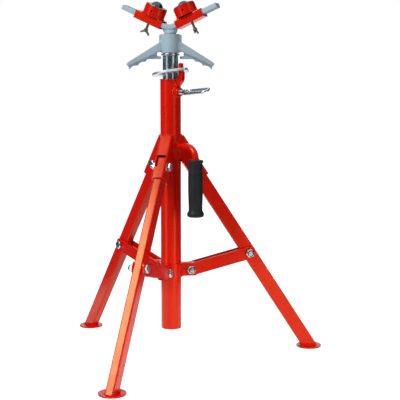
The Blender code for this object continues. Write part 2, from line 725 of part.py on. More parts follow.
def make_handle(builder):
    """A rod that leaves the post level and bends down into a rubber grip."""
    bend_centre = (HANDLE_REACH - HANDLE_BEND, HANDLE_HEIGHT - HANDLE_BEND)
    path = [(POST_RADIUS / 2, 0, HANDLE_HEIGHT)]
    path += [(reach, 0, height) for reach, height in arc(bend_centre, HANDLE_BEND, math.pi / 2, 0, 8)]
    rod_end = GRIP_BOTTOM + GRIP_END_WALL + SEAT_GAP
    path.append((HANDLE_REACH, 0, rod_end))
    bent_rod = wire("handle_rod", path, HANDLE_ROD_RADIUS)
    handle = builder.add("handle_rod", bent_rod, "red_paint", builder.handle)
    cope_to_post(builder, handle)
    bore = HANDLE_ROD_RADIUS + SEAT_GAP
    floor = GRIP_BOTTOM + GRIP_END_WALL
    profile = [(0, floor), (bore, floor), (bore, GRIP_TOP), (GRIP_RIM_RADIUS - GRIP_EDGE, GRIP_TOP),
               (GRIP_RIM_RADIUS, GRIP_TOP - GRIP_EDGE),
               (GRIP_RIM_RADIUS, GRIP_TOP - GRIP_FLANGE_HEIGHT / 2)]
    profile += grip_body()
    profile += [(GRIP_FLANGE_RADIUS, GRIP_BOTTOM + GRIP_FLANGE_HEIGHT),
                (GRIP_FLANGE_RADIUS, GRIP_BOTTOM + GRIP_EDGE),
                (GRIP_FLANGE_RADIUS - GRIP_EDGE, GRIP_BOTTOM), (0, GRIP_BOTTOM)]
    builder.add_turned("handle_grip", profile, "black_rubber", builder.handle, (HANDLE_REACH, 0, 0),
                       steps=GRIP_STEPS)


def grip_body():
    """The barrel of the grip: a neck under each flange and a swell between, fuller towards the top."""
    top = GRIP_TOP - GRIP_FLANGE_HEIGHT
    bottom = GRIP_BOTTOM + GRIP_FLANGE_HEIGHT * 1.6
    points = []
    steps = 8
    for index in range(steps + 1):
        share = index / steps
        swell = math.sin(math.pi * share ** 0.75)
        radius = GRIP_NECK_RADIUS + (GRIP_RADIUS - GRIP_NECK_RADIUS) * swell
        points.append((radius, top + (bottom - top) * share))
    return points


def make_lock(builder):
    """The boss on the post, the screw in it that presses on the mast, and the loop that turns it."""
    place = (0, 0, LOCK_HEIGHT)
    stub = rod("lock_boss", LOCK_BOSS_RADIUS, POST_RADIUS / 2, LOCK_BOSS_REACH, "X")
    boss = builder.add("lock_boss", stub, "red_paint", builder.handle, place)
    bore = rod("boss_bore", LOCK_SCREW_RADIUS + BOLT_HOLE_GAP, 0, LOCK_BOSS_REACH * 2, "X")
    builder.cut(boss, bore.name, bore, builder.handle, place)
    cope_to_post(builder, boss)
    tip = MAST_RADIUS + SEAT_GAP
    end = LOCK_SHOULDER_START + LOCK_SHOULDER_LENGTH
    chamfer = LOCK_SHOULDER_RADIUS / 6
    profile = [(0, end), (LOCK_SHOULDER_RADIUS - chamfer, end), (LOCK_SHOULDER_RADIUS, end - chamfer),
               (LOCK_SHOULDER_RADIUS, LOCK_SHOULDER_START + chamfer),
               (LOCK_SHOULDER_RADIUS - chamfer, LOCK_SHOULDER_START),
               (LOCK_SCREW_RADIUS, LOCK_SHOULDER_START), (LOCK_SCREW_RADIUS, tip), (0, tip)]
    lies = (0, math.pi / 2, 0)
    screw = builder.add_turned("lock_screw", profile, "zinc", builder.handle, place, lies, SMALL_STEPS)
    builder.join(screw, "lock_loop", lock_loop_mesh(), builder.handle, (end, 0, LOCK_HEIGHT),
                 (LOOP_TURN, 0, 0))


def lock_loop_mesh():
    """An oblong wire loop from the end of the lock screw, raised a little."""
    bend = LOOP_WIDTH / 2 - LOOP_WIRE_RADIUS
    near = bend - LOOP_WIRE_RADIUS / 2
    far = LOOP_LENGTH - LOOP_WIRE_RADIUS - bend
    outline = arc((far, 0), bend, -math.pi / 2, math.pi / 2, 8)
    outline += arc((near, 0), bend, math.pi / 2, 1.5 * math.pi, 8)
    mesh = wire("lock_loop", [(along, aside, 0) for along, aside in outline], LOOP_WIRE_RADIUS,
                closed=True, resolution=2)
    mesh.transform(Matrix.Rotation(-LOOP_RISE, 4, "Y"))
    return mesh


def make_clutch(builder):
    """The tilted friction plate on the mast, and the hook that carries its high side."""
    slope = math.cos(CLUTCH_TILT)
    hole_radius = (MAST_RADIUS + SEAT_GAP + CLUTCH_THICKNESS / 2 * math.sin(CLUTCH_TILT)) / slope
    mast_at = -CLUTCH_FULCRUM_REACH / slope
    lobe_at = CLUTCH_LOBE_RADIUS - HOOK_STEM_WIDTH
    spread = math.acos((CLUTCH_RADIUS - CLUTCH_LOBE_RADIUS) / (lobe_at - mast_at))
    outline = arc((mast_at, 0), CLUTCH_RADIUS, spread, 2 * math.pi - spread, 28)
    outline += arc((lobe_at, 0), CLUTCH_LOBE_RADIUS, -spread, spread, 10)
    half_slot = HOOK_STEM_WIDTH / 2 + HOOK_SLOT_GAP
    half_wide = HOOK_THICKNESS / 2 + HOOK_SLOT_GAP / 2
    slot = [(-half_slot, -half_wide), (half_slot, -half_wide), (half_slot, half_wide),
            (-half_slot, half_wide)]
    mesh = flat_solid("clutch_plate", outline, CLUTCH_THICKNESS,
                      [circle((mast_at, 0), hole_radius, TUBE_STEPS), slot])
    builder.add("clutch_plate", mesh, "zinc", builder.handle, CLUTCH_FULCRUM, (0, -CLUTCH_TILT, 0))
    plate = upright_plate("clutch_hook", hook_outline(), HOOK_THICKNESS)
    hook = builder.add("clutch_hook", plate, "red_paint", builder.handle)
    cope_to_post(builder, hook)


def hook_outline():
    """The hook in the plane of the handle: a root on the post, a bulge under the plate, a stem through it."""
    root = LOCK_HEIGHT + LOCK_BOSS_RADIUS + SEAT_GAP
    inner = CLUTCH_FULCRUM_REACH - HOOK_STEM_WIDTH / 2
    outer = CLUTCH_FULCRUM_REACH + HOOK_STEM_WIDTH / 2
    seat = CLUTCH_FULCRUM.z - CLUTCH_THICKNESS / 2 - SEAT_GAP
    bulge = HOOK_BULGE_REACH
    shoulder = (bulge - outer) / 2
    half_stem = HOOK_STEM_WIDTH / 2
    stem_top = arc((CLUTCH_FULCRUM_REACH, HOOK_TOP - half_stem), half_stem, 0, math.pi, 6)
    sweep_centre = (bulge - HOOK_WELD_HEIGHT, seat - HOOK_WELD_HEIGHT)
    sweep = arc(sweep_centre, HOOK_WELD_HEIGHT, -math.pi / 4, 0, 4)
    return [(POST_RADIUS / 2, root), (POST_RADIUS + HOOK_STEM_WIDTH / 2, root), *sweep,
            (bulge, seat - shoulder), (bulge - shoulder, seat), (outer, seat), *stem_top,
            (inner, seat - HOOK_WELD_HEIGHT / 2), (POST_RADIUS + SEAT_GAP, root + HOOK_WELD_HEIGHT),
            (POST_RADIUS / 2, root + HOOK_WELD_HEIGHT)]


def make_mast(builder):
    """The sliding inner tube with its lower bush and its thrust flange."""
    builder.add_turned("inner_tube", ring_profile(MAST_RADIUS, MAST_INNER_RADIUS, MAST_BOTTOM, MAST_TOP),
                       "chrome", builder.post)
    bush_outer = POST_INNER_RADIUS - RUNNING_GAP
    builder.add_turned("mast_bush", ring_profile(bush_outer, MAST_RADIUS + SEAT_GAP, MAST_BOTTOM,
                                                 MAST_BOTTOM + MAST_BUSH_LENGTH), "nylon", builder.post)
    spigot_outer = MAST_INNER_RADIUS - SEAT_GAP
    bore = spigot_outer - FLANGE_SPIGOT_WALL
    rim = FLANGE_BOTTOM + FLANGE_THICKNESS
    spigot_end = FLANGE_BOTTOM - FLANGE_SPIGOT
    flange = [(FLANGE_STEP_RADIUS, FLANGE_TOP), (FLANGE_STEP_RADIUS, rim), (FLANGE_RADIUS, rim),
              (FLANGE_RADIUS, FLANGE_BOTTOM), (spigot_outer, FLANGE_BOTTOM), (spigot_outer, spigot_end),
              (bore, spigot_end), (bore, FLANGE_TOP)]
    builder.add_turned("thrust_flange", flange, "chrome", builder.post)


def rib_outline():
    """The rib that stands out from the hub above a wing, a little short of the hub's ends."""
    root = (HUB_RADIUS + SCREW_RADIUS) / 2
    top = HUB_HEIGHT - HUB_RIB_INSET
    return [(root, HUB_RIB_INSET), (HUB_RIB_REACH, HUB_RIB_INSET), (HUB_RIB_REACH, top - HUB_RIB_INSET),
            (HUB_RIB_REACH - HUB_RIB_INSET, top), (root, top)]


def wing_outline():
    """One tapering wing of the jack nut, from inside its hub to the tip."""
    root = (HUB_RADIUS + SCREW_RADIUS) / 2
    chamfer = WING_TIP_CHAMFER
    return [(root, WING_ROOT_TOP), (root, WING_ROOT_BOTTOM), (WING_REACH - chamfer, WING_TIP_BOTTOM),
            (WING_REACH, WING_TIP_BOTTOM + chamfer), (WING_REACH, WING_TIP_TOP - chamfer),
            (WING_REACH - chamfer, WING_TIP_TOP)]


def web_outline():
    """The thin web under a wing, scalloped for the fingers, with a foot that reaches in to the mast."""
    points = [(WEB_NOTCH_REACH, WING_ROOT_BOTTOM), (WEB_NOTCH_REACH, WEB_FOOT_TOP),
              (WEB_FOOT_REACH, WEB_FOOT_TOP), (WEB_FOOT_REACH, WEB_FOOT_BOTTOM)]
    for start, end in zip(SCALLOP_ENDS, SCALLOP_ENDS[1:]):
        points += scallop(Vector(start), Vector(end))
    tip = WING_REACH - WEB_TIP_INSET
    last_cusp = SCALLOP_ENDS[-1]
    points += [last_cusp, (tip, (last_cusp[1] + WING_TIP_BOTTOM) / 2),
               (tip, WING_TIP_TOP - WEB_TIP_INSET)]
    return points


def scallop(start, end):
    """A shallow hollow between two cusps, without its last point."""
    along = end - start
    upward = Vector((-along.y, along.x))
    steps = 4
    points = []
    for index in range(steps):
        share = index / steps
        lift = SCALLOP_SAG * 4 * share * (1 - share)
        points.append(tuple(start + along * share + upward * lift))
    return points


def mirrored(outline):
    """The same outline on the other side of the axis."""
    return [(-reach, height) for reach, height in reversed(outline)]


def make_jack_nut(builder):
    """The cast nut: a hub with ribs and two finger-grip wings."""
    hub = ring_profile(HUB_RADIUS, SCREW_RADIUS + RUNNING_GAP, 0, HUB_HEIGHT)
    nut = builder.add_turned("jack_nut", hub, "grey_paint", builder.nut)
    shapes = (("rib", rib_outline(), HUB_RIB_THICKNESS), ("wing", wing_outline(), WING_THICKNESS),
              ("web", web_outline(), WEB_THICKNESS))
    for label, outline, thickness in shapes:
        for hand, shape in (("right", outline), ("left", mirrored(outline))):
            name = "nut_" + label + "_" + hand
            builder.join(nut, name, upright_plate(name, shape, thickness), builder.nut)


def vee_outline():
    """The vee bar in the XZ plane, about the point where its arms' top faces would cross."""
    top_centre = (0, VEE_TROUGH_RADIUS / math.cos(VEE_ANGLE))
    straight_down = -math.pi / 2
    lower = arc(top_centre, VEE_UNDERSIDE_RADIUS, straight_down - VEE_ANGLE, straight_down + VEE_ANGLE, 12)
    upper = arc(top_centre, VEE_TROUGH_RADIUS, straight_down + VEE_ANGLE, straight_down - VEE_ANGLE, 12)
    right = [on_arm(VEE_ARM_LENGTH, -VEE_THICKNESS), on_arm(VEE_ARM_LENGTH, 0)]
    left = [(-reach, height) for reach, height in reversed(right)]
    return lower + right + upper + left


def on_arm(along, above):
    """A point given along and square to the right arm's top face."""
    return (along * math.cos(VEE_ANGLE) - above * math.sin(VEE_ANGLE),
            along * math.sin(VEE_ANGLE) + above * math.cos(VEE_ANGLE))


def make_vee_head(builder):
    """The vee casting with its flared neck, and the jack screw under it."""
    place = (0, 0, VEE_CROSSING)
    head = builder.add("vee_head", upright_plate("vee_head", vee_outline(), VEE_DEPTH), "grey_paint",
                       builder.post, place)
    steps = 24
    neck_top = NECK_BOTTOM + NECK_HEIGHT + VEE_THICKNESS * 0.6
    foot = []
    mouth = []
    for index in range(steps):
        angle = 2 * math.pi * index / steps
        sideways = math.cos(angle)
        forward = math.sin(angle)
        foot.append(Vector((NECK_BOTTOM_RADIUS * sideways, NECK_BOTTOM_RADIUS * forward, NECK_BOTTOM)))
        mouth.append(Vector((NECK_TOP_HALF_WIDTH * sideways, NECK_TOP_HALF_DEPTH * forward, neck_top)))
    bm = bmesh.new()
    loft(bm, [foot, mouth])
    builder.join(head, "neck", finish_mesh("neck", bm), builder.post)
    screw_top = NECK_BOTTOM - SEAT_GAP
    screw_end = screw_top - SCREW_LENGTH
    chamfer = SCREW_RADIUS / 6
    profile = [(0, screw_top), (SCREW_RADIUS, screw_top), (SCREW_RADIUS, screw_end + chamfer),
               (SCREW_RADIUS - chamfer, screw_end), (0, screw_end)]
    builder.add_turned("head_screw", profile, "zinc", builder.post)


def make_saddle(builder, hand):
    """A sleeve on one vee arm, its cup and ball transfer, and the wing screw that clamps it."""
    arm = builder.arms[hand]
    slope = (0, -VEE_ANGLE, 0)
    name = "saddle_" + hand
    cavity = SADDLE_HEIGHT - 2 * SADDLE_WALL
    hole = rounded_rectangle(cavity, VEE_DEPTH + 2 * RUNNING_GAP, SADDLE_INNER_CORNER, 1)
    outline = rounded_rectangle(SADDLE_HEIGHT, SADDLE_DEPTH, SADDLE_CORNER)
    mesh = flat_solid(name, outline, SADDLE_LENGTH, [hole])
    mesh.transform(Matrix.Rotation(math.pi / 2, 4, "Y"))
    middle = SADDLE_START + SADDLE_LENGTH / 2
    mesh.transform(Matrix.Translation((middle, 0, SADDLE_TOP - SADDLE_HEIGHT / 2)))
    saddle = builder.add(name, mesh, "red_paint", arm, (0, 0, 0), slope)
    bore = rod("screw_hole_" + hand, WING_SCREW_RADIUS + SEAT_GAP, -SADDLE_HEIGHT * 2, -VEE_THICKNESS,
               steps=12)
    bore.transform(Matrix.Translation((middle, 0, 0)))
    builder.cut(saddle, bore.name, bore, arm, (0, 0, 0), slope)
    make_wing_screw(builder, hand, middle)
    make_cup(builder, hand, middle + CUP_OFFSET)


def on_sloped_arm(along, above):
    """A place in an arm's frame, which is level, from a point given on its slope."""
    reach, height = on_arm(along, above)
    return (reach, 0, height)


def make_wing_screw(builder, hand, middle):
    """A screw through the saddle's lower wall, with two bent wings."""
    tip = -VEE_THICKNESS - SEAT_GAP
    wings_top = SADDLE_TOP - SADDLE_HEIGHT - WING_SCREW_REACH
    hub_top = wings_top + WING_SCREW_HUB_RISE
    hub_bottom = wings_top - WING_SCREW_HEIGHT / 2
    profile = [(0, tip), (WING_SCREW_RADIUS, tip), (WING_SCREW_RADIUS, hub_top),
               (WING_SCREW_HUB_RADIUS, hub_top), (WING_SCREW_HUB_RADIUS, hub_bottom), (0, hub_bottom)]
    turn = (0, -VEE_ANGLE, 0)
    frame = builder.frame("wing_screw_axis_" + hand, builder.arms[hand], on_sloped_arm(middle, 0), 0)
    frame.rotation_euler = turn
    own_turn = (0, 0, WING_SCREW_TURN[hand])
    screw = builder.add_turned("wing_screw_" + hand, profile, "zinc", frame, (0, 0, 0), own_turn, 12)
    half = WING_SCREW_SPAN / 2
    height = WING_SCREW_HEIGHT
    root = WING_SCREW_RADIUS
    wing = [(root / 2, wings_top), (half * 0.55, wings_top - height * 0.28),
            (half, wings_top - height * 0.72), (half * 0.86, wings_top - height),
            (half * 0.62, wings_top - height * 0.86), (root / 2, hub_bottom + WING_SCREW_ROOT_RISE)]
    for label, shape in (("a", wing), ("b", mirrored(wing))):
        name = "wing_" + label + "_" + hand
        plate = upright_plate(name, shape, WING_SCREW_THICKNESS)
        builder.join(screw, name, plate, frame, (0, 0, 0), own_turn)


def make_cup(builder, hand, along):
    """A split ring welded on the saddle, with the ball transfer that drops into it."""
    frame = builder.frame("cup_axis_" + hand, builder.arms[hand], on_sloped_arm(along, SADDLE_TOP), 0)
    frame.rotation_euler = (0, -VEE_ANGLE, 0)
    facing = 0 if hand == "right" else math.pi
    bottom = SEAT_GAP
    inner = CUP_RADIUS - CUP_WALL
    cup = builder.add_turned("cup_" + hand, ring_profile(CUP_RADIUS, inner, bottom, bottom + CUP_HEIGHT),
                             "red_paint", frame)
    slit = block("cup_slit_" + hand, (inner / 2, -CUP_SLIT / 2, -CUP_HEIGHT),
                 (CUP_RADIUS * 2, CUP_SLIT / 2, CUP_HEIGHT * 2))
    builder.cut(cup, slit.name, slit, frame, (0, 0, 0), (0, 0, CUP_SLIT_TURN + facing))
    hole = rod("cup_hole_" + hand, CUP_HOLE_RADIUS, inner / 2, CUP_RADIUS * 2, "X", 12)
    builder.cut(cup, hole.name, hole, frame, (0, 0, bottom + CUP_HEIGHT / 2),
                (0, 0, CUP_HOLE_TURN + facing))
    make_ball_transfer(builder, hand, frame, inner - SEAT_GAP, bottom + CUP_HEIGHT + SEAT_GAP)


def mouth_radius(height):
    """The radius at a height of the lip's mouth, which closes in over the ball and keeps it in."""
    ball_there = math.sqrt(BALL_RADIUS ** 2 - (height - BALL_HEIGHT) ** 2)
    return (ball_there + LIP_BALL_GAP) / math.cos(math.pi / HOUSING_STEPS)


def make_ball_transfer(builder, hand, frame, body_radius, lip_bottom):
    """A housing with a round race, a ring of small balls in it, and the main ball on them."""
    race = BALL_RADIUS + 2 * BEARING_BALL_RADIUS + 2 * BEARING_BALL_GAP
    lip_top = lip_bottom + LIP_THICKNESS
    floor = 2 * SEAT_GAP
    bowl = arc((0, BALL_HEIGHT), race, -math.pi / 2, 0, 8)
    bowl[0] = (0, BALL_HEIGHT - race)
    edge = LIP_THICKNESS / 4
    profile = bowl + [(race, lip_bottom), (mouth_radius(lip_bottom), lip_bottom),
                      (mouth_radius(lip_top), lip_top), (LIP_RADIUS - edge, lip_top),
                      (LIP_RADIUS, lip_top - edge), (LIP_RADIUS, lip_bottom), (body_radius, lip_bottom),
                      (body_radius, floor), (0, floor)]
    builder.add_turned("ball_housing_" + hand, profile, "zinc", frame, steps=HOUSING_STEPS)
    centre = (0, 0, BALL_HEIGHT)
    bm = bmesh.new()
    bmesh.ops.create_uvsphere(bm, u_segments=22, v_segments=12, radius=BALL_RADIUS)
    builder.add("ball_" + hand, finish_mesh("ball_" + hand, bm), "chrome", frame, centre)
    make_bearing_ring(builder, hand, frame, centre)


def make_bearing_ring(builder, hand, frame, centre):
    """The ring of small balls that the main ball runs on, kept together by a thin retainer."""
    name = "bearing_ring_" + hand
    track = BALL_RADIUS + BEARING_BALL_GAP + BEARING_BALL_RADIUS
    level = track * math.cos(BEARING_BALL_DROP)
    drop = -track * math.sin(BEARING_BALL_DROP)
    loop = [(across_ring, along_ring, drop) for across_ring, along_ring in circle((0, 0), level)]
    retainer = wire(name, loop, BEARING_BALL_RADIUS / 2, closed=True, resolution=0)
    ring = builder.add(name, retainer, "chrome", frame, centre)
    bm = bmesh.new()
    for index in range(BEARING_BALL_COUNT):
        angle = 2 * math.pi * index / BEARING_BALL_COUNT
        spot = Vector((level * math.cos(angle), level * math.sin(angle), drop))
        bmesh.ops.create_uvsphere(bm, u_segments=6, v_segments=4, radius=BEARING_BALL_RADIUS,
                                  matrix=Matrix.Translation(spot))
    builder.join(ring, "bearing_balls_" + hand, finish_mesh("bearing_balls_" + hand, bm), frame, centre)


def main():
    clear_scene()
    builder = Builder()
    make_post(builder)
    leg_pivot = (LEG_PIVOT_REACH, 0, LEG_PIVOT_HEIGHT)
    for side in LEG_OUTWARD_TURN:
        make_bracket(builder, side)
        make_leg(builder, side)
        add_bolt(builder, "leg_pivot", side, leg_pivot, BRACKET_OUTSIDE + SEAT_GAP)
        make_braces(builder, side)
    make_collar(builder)
    make_handle(builder)
    make_lock(builder)
    make_clutch(builder)
    make_mast(builder)
    make_jack_nut(builder)
    make_vee_head(builder)
    for hand in ("left", "right"):
        make_saddle(builder, hand)
    bpy.context.view_layer.update()


main()
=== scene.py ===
"""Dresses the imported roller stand: welded red steel, a cast head, ball transfers, a stage and a camera."""

import json
import math

import bmesh
import bpy
from bpy.props import FloatProperty, FloatVectorProperty, IntProperty, PointerProperty
from mathutils import Matrix, Vector


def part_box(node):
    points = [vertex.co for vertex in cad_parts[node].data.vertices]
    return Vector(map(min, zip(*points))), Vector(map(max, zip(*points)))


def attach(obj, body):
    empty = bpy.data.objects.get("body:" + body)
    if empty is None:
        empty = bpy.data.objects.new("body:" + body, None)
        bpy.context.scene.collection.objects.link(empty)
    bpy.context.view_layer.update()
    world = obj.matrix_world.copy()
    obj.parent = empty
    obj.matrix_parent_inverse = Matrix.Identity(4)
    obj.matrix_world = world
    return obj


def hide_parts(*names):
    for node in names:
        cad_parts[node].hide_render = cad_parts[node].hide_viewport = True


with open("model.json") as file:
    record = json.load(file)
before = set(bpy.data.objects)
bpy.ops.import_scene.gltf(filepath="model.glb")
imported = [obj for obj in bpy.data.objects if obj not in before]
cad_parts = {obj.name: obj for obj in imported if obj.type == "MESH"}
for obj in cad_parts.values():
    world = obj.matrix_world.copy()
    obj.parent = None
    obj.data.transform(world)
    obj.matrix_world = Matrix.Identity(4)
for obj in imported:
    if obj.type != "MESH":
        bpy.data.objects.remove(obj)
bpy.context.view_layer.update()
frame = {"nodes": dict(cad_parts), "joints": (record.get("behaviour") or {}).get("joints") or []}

bl_info = {
    "name": "Roller Stand",
    "version": (1, 0, 0),
    "blender": (4, 5, 0),
    "location": "3D View > Sidebar > Roller Stand",
    "description": "Dresses the packed roller stand with finished pieces, materials and a studio",
    "category": "Object",
}

# How the pieces lie round the post
SIDES = {"front": math.radians(-90), "right": math.radians(30), "left": math.radians(150)}
HANDS = {"right": 0.0, "left": math.pi}
HANDLE_TURN = math.radians(-30)
LEG_ANGLE = math.radians(33)
VEE_ANGLE = math.radians(24)
LOOP_TURN = math.radians(22)
LOOP_RISE = math.radians(5)

# How finely the pieces are made
MERGE = 2e-6
FLAT_ANGLE = math.radians(0.5)
SHARP_ANGLE = math.radians(38)
SMOOTH_ANGLE = math.radians(35)
ROUND_STEPS = 96
SMALL_ROUND_STEPS = 48
THREAD_STEPS = 24
JACK_THREAD_STEPS = 36
BEND_STEPS = 24
ARC_STEPS = 16
LOOP_STEPS = 20
ACROSS_STEPS = 12
RING_POINTS = 36
ROD_SIDES = 40
WIRE_SIDES = 20


def middle(node):
    """The middle of a CAD node's box."""
    low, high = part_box(node)
    return (low + high) / 2


def radius_of(node):
    """The radius of a round CAD node that stands upright."""
    low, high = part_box(node)
    return (high.x - low.x) / 2


POST_AXIS = Vector((middle("outer_tube").x, middle("outer_tube").y, 0))
POST_RADIUS = radius_of("outer_tube")
MAST_RADIUS = radius_of("inner_tube")


def colour_setting(name, description, default):
    """A colour that a user may change, as a linear value."""
    return FloatVectorProperty(name=name, description=description, subtype="COLOR", size=3, min=0, max=1,
                               default=default)


def length_setting(name, description, default, least):
    """A length that a user may change, in metres."""
    return FloatProperty(name=name, description=description, unit="LENGTH", default=default, min=least)


def power_setting(name, description, default):
    """The power of a lamp that a user may change, in watts."""
    return FloatProperty(name=name, description=description, subtype="POWER", default=default)


class RollerStandColours(bpy.types.PropertyGroup):
    """Colours of the finishes"""

    red: colour_setting("Red Enamel", "Main colour of the paint", (0.68, 0.003, 0.0005))
    red_deep: colour_setting("Deep Red", "Where the paint lies thicker", (0.60, 0.0024, 0.0004))
    grey: colour_setting("Grey Casting", "Paint on the nut and the vee", (0.365, 0.475, 0.545))
    grey_deep: colour_setting("Deep Grey", "Darker patches of the casting's paint", (0.325, 0.43, 0.50))
    zinc: colour_setting("Zinc Plate", "Bolts, nuts, flange and jack screw", (0.66, 0.71, 0.75))
    yellow_zinc: colour_setting("Yellow Zinc", "Thumb screws and transfer lips", (0.30, 0.265, 0.19))
    steel: colour_setting("Plated Steel", "The mast, the lock screw and the balls", (0.50, 0.65, 0.69))
    # The near-black steel of the transfer bodies is painted shade in the cups' holes and slits
    dark_steel: colour_setting("Dark Steel", "Bodies of the ball transfers", (0.07, 0.075, 0.07))
    rubber: colour_setting("Rubber", "The carry grip", (0.009, 0.012, 0.013))
    dull_zinc: colour_setting("Dull Zinc", "The friction plate", (0.78, 0.82, 0.87))
    blue_nylon: colour_setting("Blue Nylon", "The lock rings in the nuts", (0.016, 0.055, 0.10))
    nylon: colour_setting("Nylon", "The guide bushes", (0.74, 0.72, 0.66))


class RollerStandSizes(bpy.types.PropertyGroup):
    """Sizes of the finish, which the CAD nodes do not hold"""

    plate_edge: length_setting("Plate Edge", "Rounding on cut plate and square tube", 0.0007, 0.0001)
    tube_edge: length_setting("Tube Edge", "Rounding on tube ends, discs and thick plate", 0.0009, 0.0001)
    bolt_edge: length_setting("Bolt Edge", "Rounding on bolts, nuts and thin rims", 0.0005, 0.0001)
    cast_grid: length_setting("Cast Grid", "Fineness of the castings' skin", 0.0010, 0.0004)
    cast_softening: IntProperty(
        name="Cast Softening", description="Smoothing passes on the castings", default=7, min=0)
    weld_radius: length_setting("Weld Radius", "Half the width of a weld bead", 0.0021, 0.0005)
    weld_ripple: length_setting("Weld Ripple", "Spacing of a bead's ripples", 0.0028, 0.0005)
    jack_pitch: length_setting("Jack Pitch", "Rise of the jack screw's thread", 0.005, 0.001)
    screw_pitch: length_setting("Screw Pitch", "Rise of the small screws' threads", 0.0011, 0.0004)
    loop_wire: length_setting("Loop Wire", "Radius of the lock loop's wire", 0.003, 0.001)


def colours():
    """The colours that the user set."""
    return bpy.context.scene.roller_stand_colours


def sizes():
    """The sizes that the user set."""
    return bpy.context.scene.roller_stand_sizes


# Shapes


def mesh_of(name, bm):
    """A mesh made from a shape, which is then let go."""
    mesh = bpy.data.meshes.new(name)
    bm.to_mesh(mesh)
    bm.free()
    return mesh


def new_object(name, data):
    """A new object in the scene that shows the data."""
    made = bpy.data.objects.new(name, data)
    bpy.context.scene.collection.objects.link(made)
    return made


def from_post(turn, place=(0, 0, 0)):
    """The frame of what stands on the post at a turn: X points outward, Z up."""
    return Matrix.Translation(POST_AXIS) @ Matrix.Rotation(turn, 4, "Z") @ Matrix.Translation(place)


def merged_copy(node):
    """A CAD node's triangles, welded together, with its flat faces joined."""
    bm = bmesh.new()
    bm.from_mesh(frame["nodes"][node].data)
    bmesh.ops.remove_doubles(bm, verts=bm.verts, dist=MERGE)
    bmesh.ops.dissolve_limit(bm, angle_limit=FLAT_ANGLE, verts=bm.verts, edges=bm.edges)
    return bm


def round_edges(bm, width, segments=2):
    """Rounds every sharp edge between two faces."""
    inner = [edge for edge in bm.edges if len(edge.link_faces) == 2]
    sharp = [edge for edge in inner if edge.calc_face_angle(0) > SHARP_ANGLE]
    bmesh.ops.bevel(bm, geom=sharp, offset=width, offset_type="OFFSET", affect="EDGES", segments=segments,
                    profile=0.5, material=-1, clamp_overlap=True)


def lathe(profile, steps=ROUND_STEPS, closed=True):
    """A run of (radius, height) points spun about the Z axis."""
    bm = bmesh.new()
    points = [bm.verts.new((radius, 0, height)) for radius, height in profile]
    for before, after in zip(points, points[1:]):
        bm.edges.new((before, after))
    if closed:
        bm.edges.new((points[-1], points[0]))
    bmesh.ops.spin(bm, geom=bm.verts[:] + bm.edges[:], cent=(0, 0, 0), axis=(0, 0, 1), dvec=(0, 0, 0),
                   angle=math.tau, steps=steps, use_merge=True, use_duplicate=False)
    bmesh.ops.remove_doubles(bm, verts=bm.verts, dist=MERGE)
    bmesh.ops.recalc_face_normals(bm, faces=bm.faces)
    return bm


def rod_frames(points, radii, closed):
    """A frame at each point of a rod, turned as little as the rod's own bends need."""
    last = len(points) - 1
    turn = None
    before = None
    frames = []
    for index, point in enumerate(points):
        ahead = points[(index + 1) % len(points)] if closed else points[min(index + 1, last)]
        behind = points[index - 1] if closed else points[max(index - 1, 0)]
        along = (ahead - behind).normalized()
        if turn is None:
            turn = Vector((0, 0, 1)).rotation_difference(along)
        else:
            turn = before.rotation_difference(along) @ turn
        before = along
        frames.append(Matrix.LocRotScale(point, turn, Vector((radii[index], radii[index], 1))))
    return frames


def sweep(points, radii, sides, closed=False):
    """A round rod: a circle extruded from each point to the next."""
    frames = rod_frames(points, radii, closed)
    bm = bmesh.new()
    bmesh.ops.create_circle(bm, cap_ends=not closed, segments=sides, radius=1, matrix=frames[0])
    first = bm.edges[:]
    ring = first
    for before, after in zip(frames, frames[1:]):
        made = bmesh.ops.extrude_edge_only(bm, edges=ring)["geom"]
        fresh = {item for item in made if isinstance(item, bmesh.types.BMVert)}
        edges = [item for item in made if isinstance(item, bmesh.types.BMEdge)]
        ring = [edge for edge in edges if fresh.issuperset(edge.verts)]
        bmesh.ops.transform(bm, matrix=after @ before.inverted(), verts=list(fresh))
    if closed:
        bmesh.ops.bridge_loops(bm, edges=first + ring)
    else:
        bmesh.ops.holes_fill(bm, edges=ring, sides=0)
    bmesh.ops.recalc_face_normals(bm, faces=bm.faces)
    return bm


def even_points(path, spacing, closed=False):
    """Points at an even spacing along a run of points."""
    corners = [Vector(point) for point in path]
    if closed:
        corners.append(corners[0])
    points = []
    for before, after in zip(corners, corners[1:]):
        count = max(1, round((after - before).length / spacing))
        points += [before.lerp(after, index / count) for index in range(count)]
    if not closed:
        points.append(corners[-1])
    return points


# A bead of weld: its fineness, and how far its radius drops between ripples and at its ends
BEAD_SIDES = 10
POINTS_PER_RIPPLE = 4
RIPPLE_DEPTH = 0.20
BEAD_END = 0.4
# Half the foot of a thread's ridge, as a share of its pitch
RIDGE_HALF = 0.46
CAST_SOFTENING_FACTOR = 0.5


def weld_bead(path, closed=False, scale=1.0):
    """A rippled bead of weld along a run of points."""
    size = sizes().weld_radius * scale
    ripple = sizes().weld_ripple * scale
    points = even_points(path, ripple / POINTS_PER_RIPPLE, closed)
    radii = []
    run = 0.0
    for index, point in enumerate(points):
        if index:
            run += (point - points[index - 1]).length
        swell = abs(math.cos(math.pi * run / ripple))
        radii.append(size * (1 - RIPPLE_DEPTH + RIPPLE_DEPTH * swell))
    if not closed:
        radii[0] *= BEAD_END
        radii[-1] *= BEAD_END
    return sweep(points, radii, BEAD_SIDES, closed)


